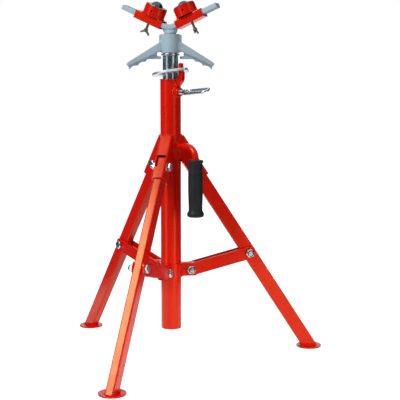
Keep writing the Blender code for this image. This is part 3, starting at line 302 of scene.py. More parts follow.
def thread_ridge(core, crest, pitch, length, steps=THREAD_STEPS):
    """A helical ridge about Z from the origin upward: a small triangle spun as it rises."""
    bm = bmesh.new()
    half = pitch * RIDGE_HALF
    corners = [bm.verts.new(place) for place in ((core, 0, 0), (crest, 0, half), (core, 0, 2 * half))]
    for index in range(3):
        bm.edges.new((corners[index], corners[(index + 1) % 3]))
    turns = (length - 2 * half) / pitch
    bmesh.ops.spin(bm, geom=bm.verts[:] + bm.edges[:], cent=(0, 0, 0), axis=(0, 0, 1),
                   dvec=(0, 0, pitch / steps), angle=math.tau * turns, steps=round(turns * steps),
                   use_merge=False, use_duplicate=False)
    bmesh.ops.holes_fill(bm, edges=bm.edges, sides=0)
    bmesh.ops.recalc_face_normals(bm, faces=bm.faces)
    return bm


def cast_copy(node):
    """A CAD node as a casting: an even skin with softened edges and inside corners."""
    mesh = mesh_of("casting_pattern", merged_copy(node))
    pattern = new_object("casting_pattern", mesh)
    skin = pattern.modifiers.new("skin", "REMESH")
    skin.mode = "VOXEL"
    skin.voxel_size = sizes().cast_grid
    soften = pattern.modifiers.new("soften", "SMOOTH")
    soften.factor = CAST_SOFTENING_FACTOR
    soften.iterations = sizes().cast_softening
    ready = pattern.evaluated_get(bpy.context.evaluated_depsgraph_get())
    bm = bmesh.new()
    bm.from_mesh(ready.data)
    bpy.data.objects.remove(pattern)
    bpy.data.meshes.remove(mesh)
    return bm


def join(bm, other, matrix=Matrix()):
    """Adds another shape to a shape, and lets the other go."""
    bmesh.ops.transform(other, matrix=matrix, verts=other.verts)
    mesh = mesh_of("joined", other)
    bm.from_mesh(mesh)
    bpy.data.meshes.remove(mesh)


def finish_piece(name, bm, finish, body, nodes=(), matrix=Matrix()):
    """Makes the shape an object with its finish, on its body, in place of its CAD nodes."""
    bmesh.ops.transform(bm, matrix=matrix, verts=bm.verts)
    if not bm.faces:
        raise RuntimeError(name + " has no faces")
    mesh = mesh_of(name, bm)
    mesh.polygons.foreach_set("use_smooth", [True] * len(mesh.polygons))
    mesh.set_sharp_from_angle(angle=SMOOTH_ANGLE)
    mesh.materials.append(material_of(finish))
    piece = new_object(name, mesh)
    flatten = piece.modifiers.new("flat_faces", "WEIGHTED_NORMAL")
    flatten.keep_sharp = True
    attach(piece, body)
    if nodes:
        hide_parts(*nodes)


def dress_node(node, finish):
    """Gives a CAD node that stays in sight its finish."""
    data = frame["nodes"][node].data
    data.materials.clear()
    data.materials.append(material_of(finish))


def rounded_copy(node, name, width, finish, body, segments=2):
    """A CAD node with its edges rounded, in place of the node."""
    bm = merged_copy(node)
    round_edges(bm, width, segments)
    finish_piece(name, bm, finish, body, [node])


def painted(name, bm, body, nodes=(), matrix=Matrix()):
    """A shape as a piece in red paint."""
    finish_piece(name, bm, red_enamel, body, nodes, matrix)


def painted_copy(node, name, width, body, segments=2):
    """A CAD node with its edges rounded, in red paint."""
    rounded_copy(node, name, width, red_enamel, body, segments)


def welds(name, paths, body, matrix, closed=False, scale=1.0):
    """A bead of weld along each path, all as one piece in red paint."""
    bm = bmesh.new()
    for path in paths:
        join(bm, weld_bead(path, closed, scale))
    painted(name, bm, body, (), matrix)


# Finishes


def new_group(name, inputs, outputs):
    """A shader node group with its sockets, ready to be wired."""
    tree = bpy.data.node_groups.new(name, "ShaderNodeTree")
    for label, kind, default in inputs:
        socket = tree.interface.new_socket(label, in_out="INPUT", socket_type=kind)
        if default is not None:
            socket.default_value = default
    for label, kind in outputs:
        tree.interface.new_socket(label, in_out="OUTPUT", socket_type=kind)
    return tree, tree.nodes.new("NodeGroupInput").outputs, tree.nodes.new("NodeGroupOutput").inputs


def noise(tree, vector, scale, detail):
    """A noise value on a vector; the scale may be a number or a socket."""
    node = tree.nodes.new("ShaderNodeTexNoise")
    node.inputs["Detail"].default_value = detail
    tree.links.new(vector, node.inputs["Vector"])
    if isinstance(scale, bpy.types.NodeSocket):
        tree.links.new(scale, node.inputs["Scale"])
    else:
        node.inputs["Scale"].default_value = scale
    return node.outputs["Fac"]


def spread(tree, value, low, high, to_low=0.0, to_high=1.0):
    """Maps a value's useful range to another; the new ends may be numbers or sockets."""
    node = tree.nodes.new("ShaderNodeMapRange")
    node.inputs["From Min"].default_value = low
    node.inputs["From Max"].default_value = high
    tree.links.new(value, node.inputs["Value"])
    for label, end in (("To Min", to_low), ("To Max", to_high)):
        if isinstance(end, bpy.types.NodeSocket):
            tree.links.new(end, node.inputs[label])
        else:
            node.inputs[label].default_value = end
    return node.outputs["Result"]


# The Mix node has sockets of the same name for values and colours, so these are told by their place
MIX_FACTOR = 0
MIX_FIRST_COLOUR = 6
MIX_SECOND_COLOUR = 7
MIX_COLOUR_RESULT = 2


def mix(tree, factor, first, second):
    """Mixes two colours by a factor."""
    node = tree.nodes.new("ShaderNodeMix")
    node.data_type = "RGBA"
    tree.links.new(factor, node.inputs[MIX_FACTOR])
    tree.links.new(first, node.inputs[MIX_FIRST_COLOUR])
    tree.links.new(second, node.inputs[MIX_SECOND_COLOUR])
    return node.outputs[MIX_COLOUR_RESULT]


SKIN_INPUTS = (
    ("Vector", "NodeSocketVector", None),
    ("Colour", "NodeSocketColor", None),
    ("Other Colour", "NodeSocketColor", None),
    ("Patch Scale", "NodeSocketFloat", 20.0),
    ("Grain Scale", "NodeSocketFloat", 500.0),
    ("Smoothest", "NodeSocketFloat", 0.2),
    ("Roughest", "NodeSocketFloat", 0.4),
)
SKIN_OUTPUTS = (
    ("Colour", "NodeSocketColor"),
    ("Roughness", "NodeSocketFloat"),
    ("Height", "NodeSocketFloat"),
)


# Stretches of a noise that are spread from one end of a range to the other
PATCH_RANGE = (0.35, 0.65)
GLOSS_RANGE = (0.3, 0.7)
GLOSS_SCALE = 55.0
STREAK_STRETCH = (1.0, 1.0, 0.03)


def coloured_patches(tree, given, result):
    """Slow patches of two colours, which every skin has."""
    patches = noise(tree, given["Vector"], given["Patch Scale"], detail=4)
    share = spread(tree, patches, *PATCH_RANGE)
    tree.links.new(mix(tree, share, given["Colour"], given["Other Colour"]), result["Colour"])


def coated_skin():
    """Paint, plate, plastic or rubber: slow patches of colour and gloss under a fine grain."""
    if "coated_skin" in bpy.data.node_groups:
        return bpy.data.node_groups["coated_skin"]
    tree, given, result = new_group("coated_skin", SKIN_INPUTS, SKIN_OUTPUTS)
    coloured_patches(tree, given, result)
    gloss = noise(tree, given["Vector"], GLOSS_SCALE, detail=5)
    roughness = spread(tree, gloss, *GLOSS_RANGE, given["Smoothest"], given["Roughest"])
    tree.links.new(roughness, result["Roughness"])
    tree.links.new(noise(tree, given["Vector"], given["Grain Scale"], detail=3), result["Height"])
    return tree


def drawn_skin():
    """Drawn metal: streaks along Z, with the gloss following them."""
    if "drawn_skin" in bpy.data.node_groups:
        return bpy.data.node_groups["drawn_skin"]
    tree, given, result = new_group("drawn_skin", SKIN_INPUTS, SKIN_OUTPUTS)
    coloured_patches(tree, given, result)
    stretch = tree.nodes.new("ShaderNodeMapping")
    stretch.inputs["Scale"].default_value = STREAK_STRETCH
    tree.links.new(given["Vector"], stretch.inputs["Vector"])
    streaks = noise(tree, stretch.outputs["Vector"], given["Grain Scale"], detail=4)
    roughness = spread(tree, streaks, *GLOSS_RANGE, given["Smoothest"], given["Roughest"])
    tree.links.new(roughness, result["Roughness"])
    tree.links.new(streaks, result["Height"])
    return tree


def set_sockets(node, values):
    """Gives a node's input sockets their plain values."""
    for label, value in values.items():
        node.inputs[label].default_value = value


def skinned_material(name, group, first, second, patch, grain, gloss, bump, plain):
    """A material whose colour, gloss and grain come from a skin group, with plain values on the shader."""
    material = bpy.data.materials.new(name)
    material.use_nodes = True
    tree = material.node_tree
    place = tree.nodes.new("ShaderNodeTexCoord")
    skin = tree.nodes.new("ShaderNodeGroup")
    skin.node_tree = group
    set_sockets(skin, {"Colour": (*first, 1), "Other Colour": (*second, 1), "Patch Scale": patch,
                       "Grain Scale": grain, "Smoothest": gloss[0], "Roughest": gloss[1]})
    lift = tree.nodes.new("ShaderNodeBump")
    set_sockets(lift, {"Strength": bump[0], "Distance": bump[1]})
    shader = tree.nodes["Principled BSDF"]
    set_sockets(shader, plain)
    tree.links.new(place.outputs["Object"], skin.inputs["Vector"])
    tree.links.new(skin.outputs["Colour"], shader.inputs["Base Color"])
    tree.links.new(skin.outputs["Roughness"], shader.inputs["Roughness"])
    tree.links.new(skin.outputs["Height"], lift.inputs["Height"])
    tree.links.new(lift.outputs["Normal"], shader.inputs["Normal"])
    return material


def shade(colour, share):
    """A colour made darker, or lighter where the share is over 1."""
    return tuple(part * share for part in colour)


METAL = {"Metallic": 1.0}


def red_enamel(name):
    """Gloss enamel with a little orange peel."""
    return skinned_material(
        name, coated_skin(), colours().red, colours().red_deep, patch=9.0, grain=420.0,
        gloss=(0.17, 0.26), bump=(0.10, 0.00010),
        plain={"Specular IOR Level": 0.5, "Specular Tint": (1.0, 0.75, 0.32, 1.0)})


def grey_casting(name):
    """Satin grey paint on a sand casting."""
    return skinned_material(
        name, coated_skin(), colours().grey, colours().grey_deep, patch=28.0, grain=620.0,
        gloss=(0.42, 0.58), bump=(0.20, 0.00016), plain={"Specular IOR Level": 0.4})


def zinc_plate(name):
    """Bright zinc on the bolts, the nuts, the flange and the jack screw."""
    zinc = colours().zinc
    return skinned_material(
        name, coated_skin(), zinc, shade(zinc, 0.82), patch=160.0, grain=900.0,
        gloss=(0.16, 0.34), bump=(0.12, 0.00005), plain=METAL)


def dull_zinc(name):
    """Zinc on the friction plate, dulled by its blasted skin."""
    zinc = colours().dull_zinc
    return skinned_material(
        name, coated_skin(), zinc, shade(zinc, 0.85), patch=90.0, grain=700.0,
        gloss=(0.40, 0.55), bump=(0.15, 0.00006), plain=METAL)


def yellow_zinc(name):
    """Yellow passivated zinc on the thumb screws and on the lips of the ball transfers."""
    zinc = colours().yellow_zinc
    return skinned_material(
        name, coated_skin(), zinc, shade(zinc, 0.7), patch=220.0, grain=900.0,
        gloss=(0.25, 0.45), bump=(0.15, 0.0002), plain=METAL)


def plated_tube(name):
    """Bright drawn steel with fine lines, on the mast and on the lock screw."""
    steel = colours().steel
    return skinned_material(
        name, drawn_skin(), steel, shade(steel, 0.85), patch=14.0, grain=900.0,
        gloss=(0.17, 0.30), bump=(0.05, 0.0001), plain=METAL)


def polished_ball(name):
    """Hardened balls with a faint haze from rolling; their colour is the steel's brought down to a fifth, a
    painted dark reflection of the room.
    """
    steel = colours().steel
    return skinned_material(
        # A fifth of the steel's colour: painted dark reflection on the balls
        name, coated_skin(), shade(steel, 0.2), shade(steel, 0.14), patch=90.0, grain=700.0,
        gloss=(0.05, 0.16), bump=(0.04, 0.0001), plain=METAL)


def hole_shade_steel(name):
    """Dark steel on the bodies of the ball transfers, near black as painted shade where the body shows
    through the cup's hole and slit.
    """
    steel = colours().dark_steel
    return skinned_material(
        name, coated_skin(), steel, shade(steel, 0.6), patch=120.0, grain=800.0,
        gloss=(0.18, 0.38), bump=(0.10, 0.0002), plain=METAL)


def grip_rubber(name):
    """Moulded rubber with a fine grain."""
    rubber = colours().rubber
    return skinned_material(
        name, coated_skin(), rubber, shade(rubber, 1.5), patch=40.0, grain=1100.0,
        gloss=(0.46, 0.62), bump=(0.20, 0.00008), plain={"Specular IOR Level": 0.25})


def plain_nylon(name):
    """Turned nylon of the bushes."""
    nylon = colours().nylon
    return skinned_material(
        name, coated_skin(), nylon, shade(nylon, 0.9), patch=60.0, grain=600.0,
        gloss=(0.35, 0.5), bump=(0.10, 0.0002),
        plain={"Subsurface Weight": 0.1, "Subsurface Radius": (0.004, 0.003, 0.002)})


def blue_nylon(name):
    """Dyed nylon of the rings that lock the nuts."""
    nylon = colours().blue_nylon
    return skinned_material(
        name, coated_skin(), nylon, shade(nylon, 0.8), patch=200.0, grain=900.0,
        gloss=(0.35, 0.5), bump=(0.10, 0.00005), plain={"Specular IOR Level": 0.4})


def material_of(finish):
    """The material that a finish makes, made when it is first asked for."""
    name = finish.__name__
    if name not in bpy.data.materials:
        return finish(name)
    return bpy.data.materials[name]


# Sizes that repeat the source's, in metres
POST_WALL = 0.0026
MAST_WALL = 0.0032
LEG_WIDTH = 0.019
LEG_DEPTH = 0.030
LEG_PIVOT_REACH = 0.047
LEG_PIVOT_HEIGHT = 0.4245
COLLAR_PIVOT_REACH = 0.0435
COLLAR_PIVOT_HEIGHT = 0.1912
FOOT_THICKNESS = 0.004
BRACE_PIVOT_DOWN_LEG = 0.238
BOLT_RADIUS = 0.005
BRACKET_HALF_WIDTH = 0.0135
COLLAR_RADIUS = 0.0261
EAR_HALF_WIDTH = 0.0095
HANDLE_REACH = 0.0847
HANDLE_HEIGHT = 0.4677
HANDLE_ROD_RADIUS = 0.007
HANDLE_BEND = 0.026
GRIP_END_WALL = 0.005
LOCK_HEIGHT = 0.5845
LOCK_BOSS_RADIUS = 0.0095
LOCK_BOSS_REACH = 0.0335
LOCK_SCREW_RADIUS = 0.0048
LOCK_SHOULDER_RADIUS = 0.0062
LOCK_SHOULDER_START = 0.046
LOCK_SHOULDER_END = 0.056
LOOP_LENGTH = 0.073
LOOP_WIDTH = 0.024
HOOK_HALF_THICKNESS = 0.004
HOOK_ROOT = 0.595
BALL_RADIUS = 0.0142
BALL_HEIGHT = 0.0195
RACE_RADIUS = 0.0173
CUP_RADIUS = 0.0245
CUP_TOP = 0.0218
HOUSING_RADIUS = 0.0215
LIP_RADIUS = 0.0236
LIP_THICKNESS = 0.002
LIP_BALL_GAP = 0.0004
SADDLE_HALF_DEPTH = 0.0155
SADDLE_TOP = 0.0029
SADDLE_HEIGHT = 0.018
WING_SCREW_RADIUS = 0.0027
WING_SCREW_REACH = 0.0145
VEE_THICKNESS = 0.0106

# Where the bolts of each group cross the plane of a leg
PIVOTS = {
    "leg_pivot": Vector((LEG_PIVOT_REACH, 0, LEG_PIVOT_HEIGHT)),
    "collar": Vector((COLLAR_PIVOT_REACH, 0, COLLAR_PIVOT_HEIGHT)),
    "brace": Vector((LEG_PIVOT_REACH + BRACE_PIVOT_DOWN_LEG * math.sin(LEG_ANGLE), 0,
                     LEG_PIVOT_HEIGHT - BRACE_PIVOT_DOWN_LEG * math.cos(LEG_ANGLE))),
}

# Sizes of details that only this script shows, in metres
LOCK_RING_RADIUS = 0.0072
LOCK_RING_RISE = 0.0007
LOCK_RING_EASE = 0.0004
HOUSING_FLOOR = 0.0006
LOCK_EASE = 0.0009
LOCK_PLAY = 0.0004
LOCK_THREAD_DEPTH = 0.0004
JACK_EASE = 0.001
JACK_PLAY = 0.0001
JACK_THREAD_DEPTH = 0.0018
WING_THREAD_HALF_DEPTH = 0.0002
WING_THREAD_DROP = 0.0005
ROD_END_GAP = 0.0004
CLEARANCE = 0.0003
# How deep the foot of a thread's ridge lies in its core
LOCK_RIDGE_ROOT = 0.0001
JACK_RIDGE_ROOT = 0.0002
# How deep the end of a rod or a boss lies in the post's skin
SUNK = 0.0006
# How near a vertex counts as touching
NEAR = 0.001
# How a bead's middle line lies beside, above and out from the edge that it follows
BEAD_ASIDE = 0.0006
BEAD_LIFT = 0.0004
BEAD_PROUD = 0.0005
# The part of an edge that a bead covers
BEAD_SHARE = 0.94
EAR_WELD_INSET = 0.003
HOOK_WELD_TOP = 0.607

# The grip's section: its foot from the bottom upward, its rim from the barrel to the top, and the barrel
GRIP_FOOT = (
    (0, 0), (0.0140, 0), (0.0162, 0.0007), (0.0177, 0.0023), (0.0183, 0.0048), (0.0181, 0.0076),
    (0.0171, 0.0102), (0.0156, 0.0124), (0.0149, 0.0142), (0.0147, 0.0162),
)
GRIP_RIM = (
    (0.0150, 0.0068), (0.0160, 0.0058), (0.0167, 0.0044), (0.0168, 0.0028), (0.0162, 0.0011),
    (0.0150, 0.0002), (0.0140, 0),
)
BARREL_RADIUS = 0.0147
BARREL_SWELL = 0.0013
BARREL_SWELL_POWER = 0.8
BARREL_ABOVE_FOOT = 0.0185
BARREL_BELOW_TOP = 0.0085
BARREL_STEPS = 24


def joint_place(name):
    """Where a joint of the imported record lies."""
    for joint in frame["joints"]:
        if joint["name"] == name:
            return Vector(joint["pos_m"])
    raise RuntimeError("no joint named " + name)


def seen_from_post(node, turn):
    """A CAD node's vertices, in the frame of what stands on the post at a turn."""
    inward = from_post(turn).inverted()
    return [inward @ vertex.co for vertex in frame["nodes"][node].data.vertices]


def on_post(aside, height):
    """A point of a weld on the skin of the post, in the frame of what stands on it."""
    return (math.sqrt(POST_RADIUS ** 2 - aside ** 2) + BEAD_PROUD, aside, height)


def ring_on_post(radius, height):
    """A closed path round a rod that leaves the post level."""
    path = []
    for index in range(RING_POINTS):
        angle = math.tau * index / RING_POINTS
        path.append(on_post(radius * math.cos(angle), height + radius * math.sin(angle)))
    return path


def tube_profile(outer, inner, bottom, top):
    """A wall that lathe spins into a tube."""
    return [(outer, bottom), (outer, top), (inner, top), (inner, bottom)]


def upright_tube(node, wall):
    """A CAD tube on the post's axis, made round again with softened ends."""
    low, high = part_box(node)
    radius = radius_of(node)
    bm = lathe(tube_profile(radius, radius - wall, low.z, high.z))
    round_edges(bm, sizes().tube_edge, segments=3)
    return bm


def arc_points(centre, radius, start, end, steps):
    """Points on an arc in a plane."""
    points = []
    for index in range(steps + 1):
        angle = start + (end - start) * index / steps
        points.append((centre[0] + radius * math.cos(angle), centre[1] + radius * math.sin(angle)))
    return points


LEVEL = Matrix.Rotation(math.pi / 2, 4, "Y")


# Pieces


def make_post():
    """The post's tube, and the two bushes in it."""
    painted("post_tube", upright_tube("outer_tube", POST_WALL), "stand", ["outer_tube"], from_post(0))
    for bush in ("upper_bush", "mast_bush"):
        dress_node(bush, plain_nylon)


def bracket_welds(node, turn):
    """The run of weld where a bracket meets the post, as paths in the bracket's frame."""
    heights = []
    for place in seen_from_post(node, turn):
        at_side = abs(place.y) > BRACKET_HALF_WIDTH - NEAR
        if at_side and math.hypot(place.x, place.y) < POST_RADIUS + NEAR:
            heights.append(place.z)
    bottom, top = min(heights), max(heights)
    aside = BRACKET_HALF_WIDTH + BEAD_ASIDE
    shares = [index / ACROSS_STEPS * 2 - 1 for index in range(ACROSS_STEPS + 1)]
    across = [on_post(aside * share, top + BEAD_LIFT) for share in shares]
    sides = [[on_post(hand * aside, bottom), on_post(hand * aside, top)] for hand in (-1, 1)]
    return sides + [across]


def make_brackets():
    """Three bent brackets and their welds."""
    for side, turn in SIDES.items():
        node = "leg_bracket_" + side
        painted_copy(node, "bracket_plate_" + side, sizes().plate_edge, "stand", segments=3)
        welds("bracket_weld_" + side, bracket_welds(node, turn), "stand", from_post(turn))


def foot_weld_path():
    """The run of weld round three sides of a leg's lower end, in the leg's frame."""
    reach = LEG_PIVOT_REACH + (LEG_PIVOT_HEIGHT - FOOT_THICKNESS) * math.tan(LEG_ANGLE)
    half_length = LEG_DEPTH / 2 / math.cos(LEG_ANGLE)
    half_width = LEG_WIDTH / 2
    lift = FOOT_THICKNESS + CLEARANCE
    outer = reach + half_length * BEAD_SHARE
    inner = reach - half_length
    return [(outer, -half_width, lift), (inner, -half_width, lift), (inner, half_width, lift),
            (outer, half_width, lift)]


def make_legs():
    """Three legs, each with a foot disc welded on."""
    for side, turn in SIDES.items():
        body = "leg_" + side
        foot = "foot_plate_" + side
        painted_copy("leg_" + side, "leg_tube_" + side, sizes().plate_edge, body)
        low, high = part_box(foot)
        radius = radius_of(foot)
        bm = lathe([(0, low.z), (radius, low.z), (radius, high.z), (0, high.z)], closed=False)
        round_edges(bm, sizes().tube_edge, segments=3)
        painted("foot_disc_" + side, bm, body, [foot], Matrix.Translation((*middle(foot).xy, 0)))
        welds("foot_weld_" + side, [foot_weld_path()], body, from_post(turn), scale=0.9)


def make_collar():
    """The sliding collar with its ears and their welds."""
    painted_copy("collar", "collar_ring", sizes().plate_edge, "collar")
    low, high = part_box("collar")
    bottom = low.z + EAR_WELD_INSET
    top = high.z - EAR_WELD_INSET
    along = math.sqrt(COLLAR_RADIUS ** 2 - EAR_HALF_WIDTH ** 2)
    asides = (-EAR_HALF_WIDTH, EAR_HALF_WIDTH)
    paths = [[(along, aside, bottom), (along, aside, top)] for aside in asides]
    for side, turn in SIDES.items():
        welds("ear_weld_" + side, paths, "collar", from_post(turn), scale=0.55)


def make_braces():
    """Six flat brace bars."""
    for side in SIDES:
        for hand in ("left", "right"):
            place = side + "_" + hand
            painted_copy("brace_bar_" + place, "brace_strap_" + place, sizes().plate_edge, "brace_" + side)


def nut_face(node, turn, pivot):
    """How far a nut's outer face lies to the side of its leg's plane, signed by its side."""
    places = [place - pivot for place in seen_from_post(node, turn)]
    return max([place.y for place in places if math.hypot(place.x, place.z) > BOLT_RADIUS + NEAR], key=abs)


def make_lock_ring(side, group, body):
    """The nylon ring round the bolt's end, on the outer face of a lock nut."""
    turn = SIDES[side]
    pivot = PIVOTS[group]
    face = nut_face(group + "_nut_" + side, turn, pivot)
    bore = BOLT_RADIUS + CLEARANCE
    bm = lathe([(bore, 0), (LOCK_RING_RADIUS, 0), (LOCK_RING_RADIUS - LOCK_RING_EASE, LOCK_RING_RISE),
                (bore, LOCK_RING_RISE)], SMALL_ROUND_STEPS)
    outward = Matrix.Rotation(math.copysign(math.pi / 2, -face), 4, "X")
    place = from_post(turn, (pivot.x, face, pivot.z)) @ outward
    finish_piece("lock_ring_" + group + "_" + side, bm, blue_nylon, body, (), place)


def make_fasteners():
    """Every pivot bolt and nut, and the lock rings of the nuts."""
    for side in SIDES:
        for group, body in (("leg_pivot", "stand"), ("collar", "collar"), ("brace", "brace_" + side)):
            for part in ("bolt", "nut"):
                node = group + "_" + part + "_" + side
                rounded_copy(node, "hex_" + node, sizes().bolt_edge, zinc_plate, body)
            make_lock_ring(side, group, body)


def grip_profile(bottom, top):
    """Half the section of the grip: a bulged foot, a swelling barrel and a rim."""
    points = [(radius, bottom + height) for radius, height in GRIP_FOOT]
    barrel_bottom = bottom + BARREL_ABOVE_FOOT
    barrel_top = top - BARREL_BELOW_TOP
    for index in range(BARREL_STEPS + 1):
        share = index / BARREL_STEPS
        swell = math.sin(math.pi * (1 - (1 - share) ** BARREL_SWELL_POWER))
        height = barrel_bottom + (barrel_top - barrel_bottom) * share
        points.append((BARREL_RADIUS + BARREL_SWELL * swell, height))
    points += [(radius, top - depth) for radius, depth in GRIP_RIM]
    bore = HANDLE_ROD_RADIUS + CLEARANCE
    return points + [(bore, top), (bore, bottom + GRIP_END_WALL), (0, bottom + GRIP_END_WALL)]


def make_handle():
    """The bent carry rod, its weld and its rubber grip."""
    low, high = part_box("handle_grip")
    bend_middle = (HANDLE_REACH - HANDLE_BEND, HANDLE_HEIGHT - HANDLE_BEND)
    bend = arc_points(bend_middle, HANDLE_BEND, math.pi / 2, 0, BEND_STEPS)
    path = [Vector((POST_RADIUS - SUNK, 0, HANDLE_HEIGHT))]
    path += [Vector((reach, 0, height)) for reach, height in bend]
    path.append(Vector((HANDLE_REACH, 0, low.z + GRIP_END_WALL + ROD_END_GAP)))
    bm = sweep(path, [HANDLE_ROD_RADIUS] * len(path), ROD_SIDES)
    place = from_post(HANDLE_TURN)
    painted("carry_rod", bm, "stand", ["handle_rod"], place)
    ring = ring_on_post(HANDLE_ROD_RADIUS + BEAD_ASIDE, HANDLE_HEIGHT)
    welds("carry_rod_weld", [ring], "stand", place, closed=True)
    grip = lathe(grip_profile(low.z, high.z), closed=False)
    finish_piece("carry_grip", grip, grip_rubber, "stand", ["handle_grip"],
                 from_post(HANDLE_TURN, (HANDLE_REACH, 0, 0)))


def loop_path():
    """The middle line of the lock screw's oblong wire loop, in the frame of the screw's end."""
    wire = sizes().loop_wire
    bend = LOOP_WIDTH / 2 - wire
    near = bend - wire / 2
    far = LOOP_LENGTH - wire - bend
    outline = arc_points((far, 0), bend, -math.pi / 2, math.pi / 2, LOOP_STEPS)
    outline += arc_points((near, 0), bend, math.pi / 2, 1.5 * math.pi, LOOP_STEPS)
    rise = Matrix.Rotation(LOOP_TURN, 4, "X") @ Matrix.Rotation(-LOOP_RISE, 4, "Y")
    return [rise @ Vector((along, aside, 0)) for along, aside in outline]


def lock_shank():
    """The lock screw's threaded shank and its shoulder, along X."""
    tip = MAST_RADIUS + CLEARANCE
    core = LOCK_SCREW_RADIUS - LOCK_THREAD_DEPTH
    ease = LOCK_EASE
    profile = [(0, tip), (core - ease, tip), (core, tip + ease), (core, LOCK_SHOULDER_START),
               (LOCK_SHOULDER_RADIUS - ease, LOCK_SHOULDER_START),
               (LOCK_SHOULDER_RADIUS, LOCK_SHOULDER_START + ease),
               (LOCK_SHOULDER_RADIUS, LOCK_SHOULDER_END - ease),
               (LOCK_SHOULDER_RADIUS - ease, LOCK_SHOULDER_END), (0, LOCK_SHOULDER_END)]
    bm = lathe(profile, SMALL_ROUND_STEPS, closed=False)
    start = POST_RADIUS - POST_WALL
    thread = thread_ridge(core - LOCK_RIDGE_ROOT, LOCK_SCREW_RADIUS, sizes().screw_pitch,
                          LOCK_SHOULDER_START - start)
    join(bm, thread, Matrix.Translation((0, 0, start)))
    bmesh.ops.transform(bm, matrix=LEVEL, verts=bm.verts)
    return bm


def make_lock():
    """The lock screw's boss, the threaded screw and its loop."""
    place = from_post(HANDLE_TURN, (0, 0, LOCK_HEIGHT))
    wall = tube_profile(LOCK_BOSS_RADIUS, LOCK_SCREW_RADIUS + LOCK_PLAY, POST_RADIUS - SUNK, LOCK_BOSS_REACH)
    boss = lathe(wall, SMALL_ROUND_STEPS)
    round_edges(boss, sizes().tube_edge, segments=3)
    painted("screw_boss", boss, "stand", ["lock_boss"], place @ LEVEL)
    ring = ring_on_post(LOCK_BOSS_RADIUS + BEAD_ASIDE, LOCK_HEIGHT)
    welds("screw_boss_weld", [ring], "stand", from_post(HANDLE_TURN), closed=True)
    bm = lock_shank()
    path = loop_path()
    loop = sweep(path, [sizes().loop_wire] * len(path), WIRE_SIDES, closed=True)
    join(bm, loop, Matrix.Translation((LOCK_SHOULDER_END, 0, 0)))
    finish_piece("lock_handle", bm, plated_tube, "lock", ["lock_screw"], place)


def make_clutch():
    """The friction plate and the hook that holds it."""
    edge = sizes().tube_edge
    rounded_copy("clutch_plate", "grip_plate", edge, dull_zinc, "clutch", segments=3)
    painted_copy("clutch_hook", "plate_hook", edge, "stand", segments=3)
    aside = HOOK_HALF_THICKNESS + BEAD_ASIDE
    paths = [[on_post(hand * aside, HOOK_ROOT), on_post(hand * aside, HOOK_WELD_TOP)] for hand in (-1, 1)]
    welds("plate_hook_weld", paths, "stand", from_post(HANDLE_TURN))


def make_mast():
    """The plated mast and its thrust flange."""
    bm = upright_tube("inner_tube", MAST_WALL)
    finish_piece("mast_tube", bm, plated_tube, "mast", ["inner_tube"], from_post(0))
    rounded_copy("thrust_flange", "mast_flange", sizes().bolt_edge, zinc_plate, "mast")


def make_jack_nut():
    """The winged nut as a casting."""
    finish_piece("hand_nut", cast_copy("jack_nut"), grey_casting, "jack_nut", ["jack_nut"])


def make_vee_head():
    """The vee as a casting, and the threaded jack screw under it."""
    finish_piece("vee_casting", cast_copy("vee_head"), grey_casting, "head", ["vee_head"])
    low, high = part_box("head_screw")
    crest = radius_of("head_screw") - JACK_PLAY
    core = crest - JACK_THREAD_DEPTH
    shank = [(0, low.z), (core - JACK_EASE, low.z), (core, low.z + JACK_EASE), (core, high.z), (0, high.z)]
    bm = lathe(shank, SMALL_ROUND_STEPS, closed=False)
    thread = thread_ridge(core - JACK_RIDGE_ROOT, crest, sizes().jack_pitch, high.z - low.z,
                          JACK_THREAD_STEPS)
    join(bm, thread, Matrix.Translation((0, 0, low.z)))
    finish_piece("jack_screw", bm, zinc_plate, "head", ["head_screw"], from_post(0))


def arm_frame(hand, place):
    """A frame on a vee arm: X up the arm, Z square to it."""
    turn = Matrix.Rotation(HANDS[hand], 4, "Z") @ Matrix.Rotation(-VEE_ANGLE, 4, "Y")
    return Matrix.Translation(place) @ turn


def cup_frame(hand):
    """The frame at the foot of a cup, on the top of its saddle."""
    return arm_frame(hand, joint_place("ball_" + hand + "_roll")) @ Matrix.Translation((0, 0, -BALL_HEIGHT))


def make_saddles():
    """Two sleeves on the vee arms, each with a split cup welded on."""
    reach = math.asin(SADDLE_HALF_DEPTH / CUP_RADIUS) * BEAD_SHARE
    paths = []
    for facing in (0, math.pi):
        run = arc_points((0, 0), CUP_RADIUS + BEAD_LIFT, facing - reach, facing + reach, ARC_STEPS)
        paths.append([(along, aside, BEAD_LIFT) for along, aside in run])
    for hand in HANDS:
        body = "saddle_" + hand
        painted_copy("saddle_" + hand, "sleeve_" + hand, sizes().plate_edge, body, segments=3)
        painted_copy("cup_" + hand, "ring_cup_" + hand, sizes().bolt_edge, body)
        welds("cup_weld_" + hand, paths, body, cup_frame(hand), scale=0.85)


def mouth_radius(height):
    """The radius at a height of the lip's mouth, which closes in over the ball."""
    return math.sqrt(BALL_RADIUS ** 2 - (height - BALL_HEIGHT) ** 2) + LIP_BALL_GAP


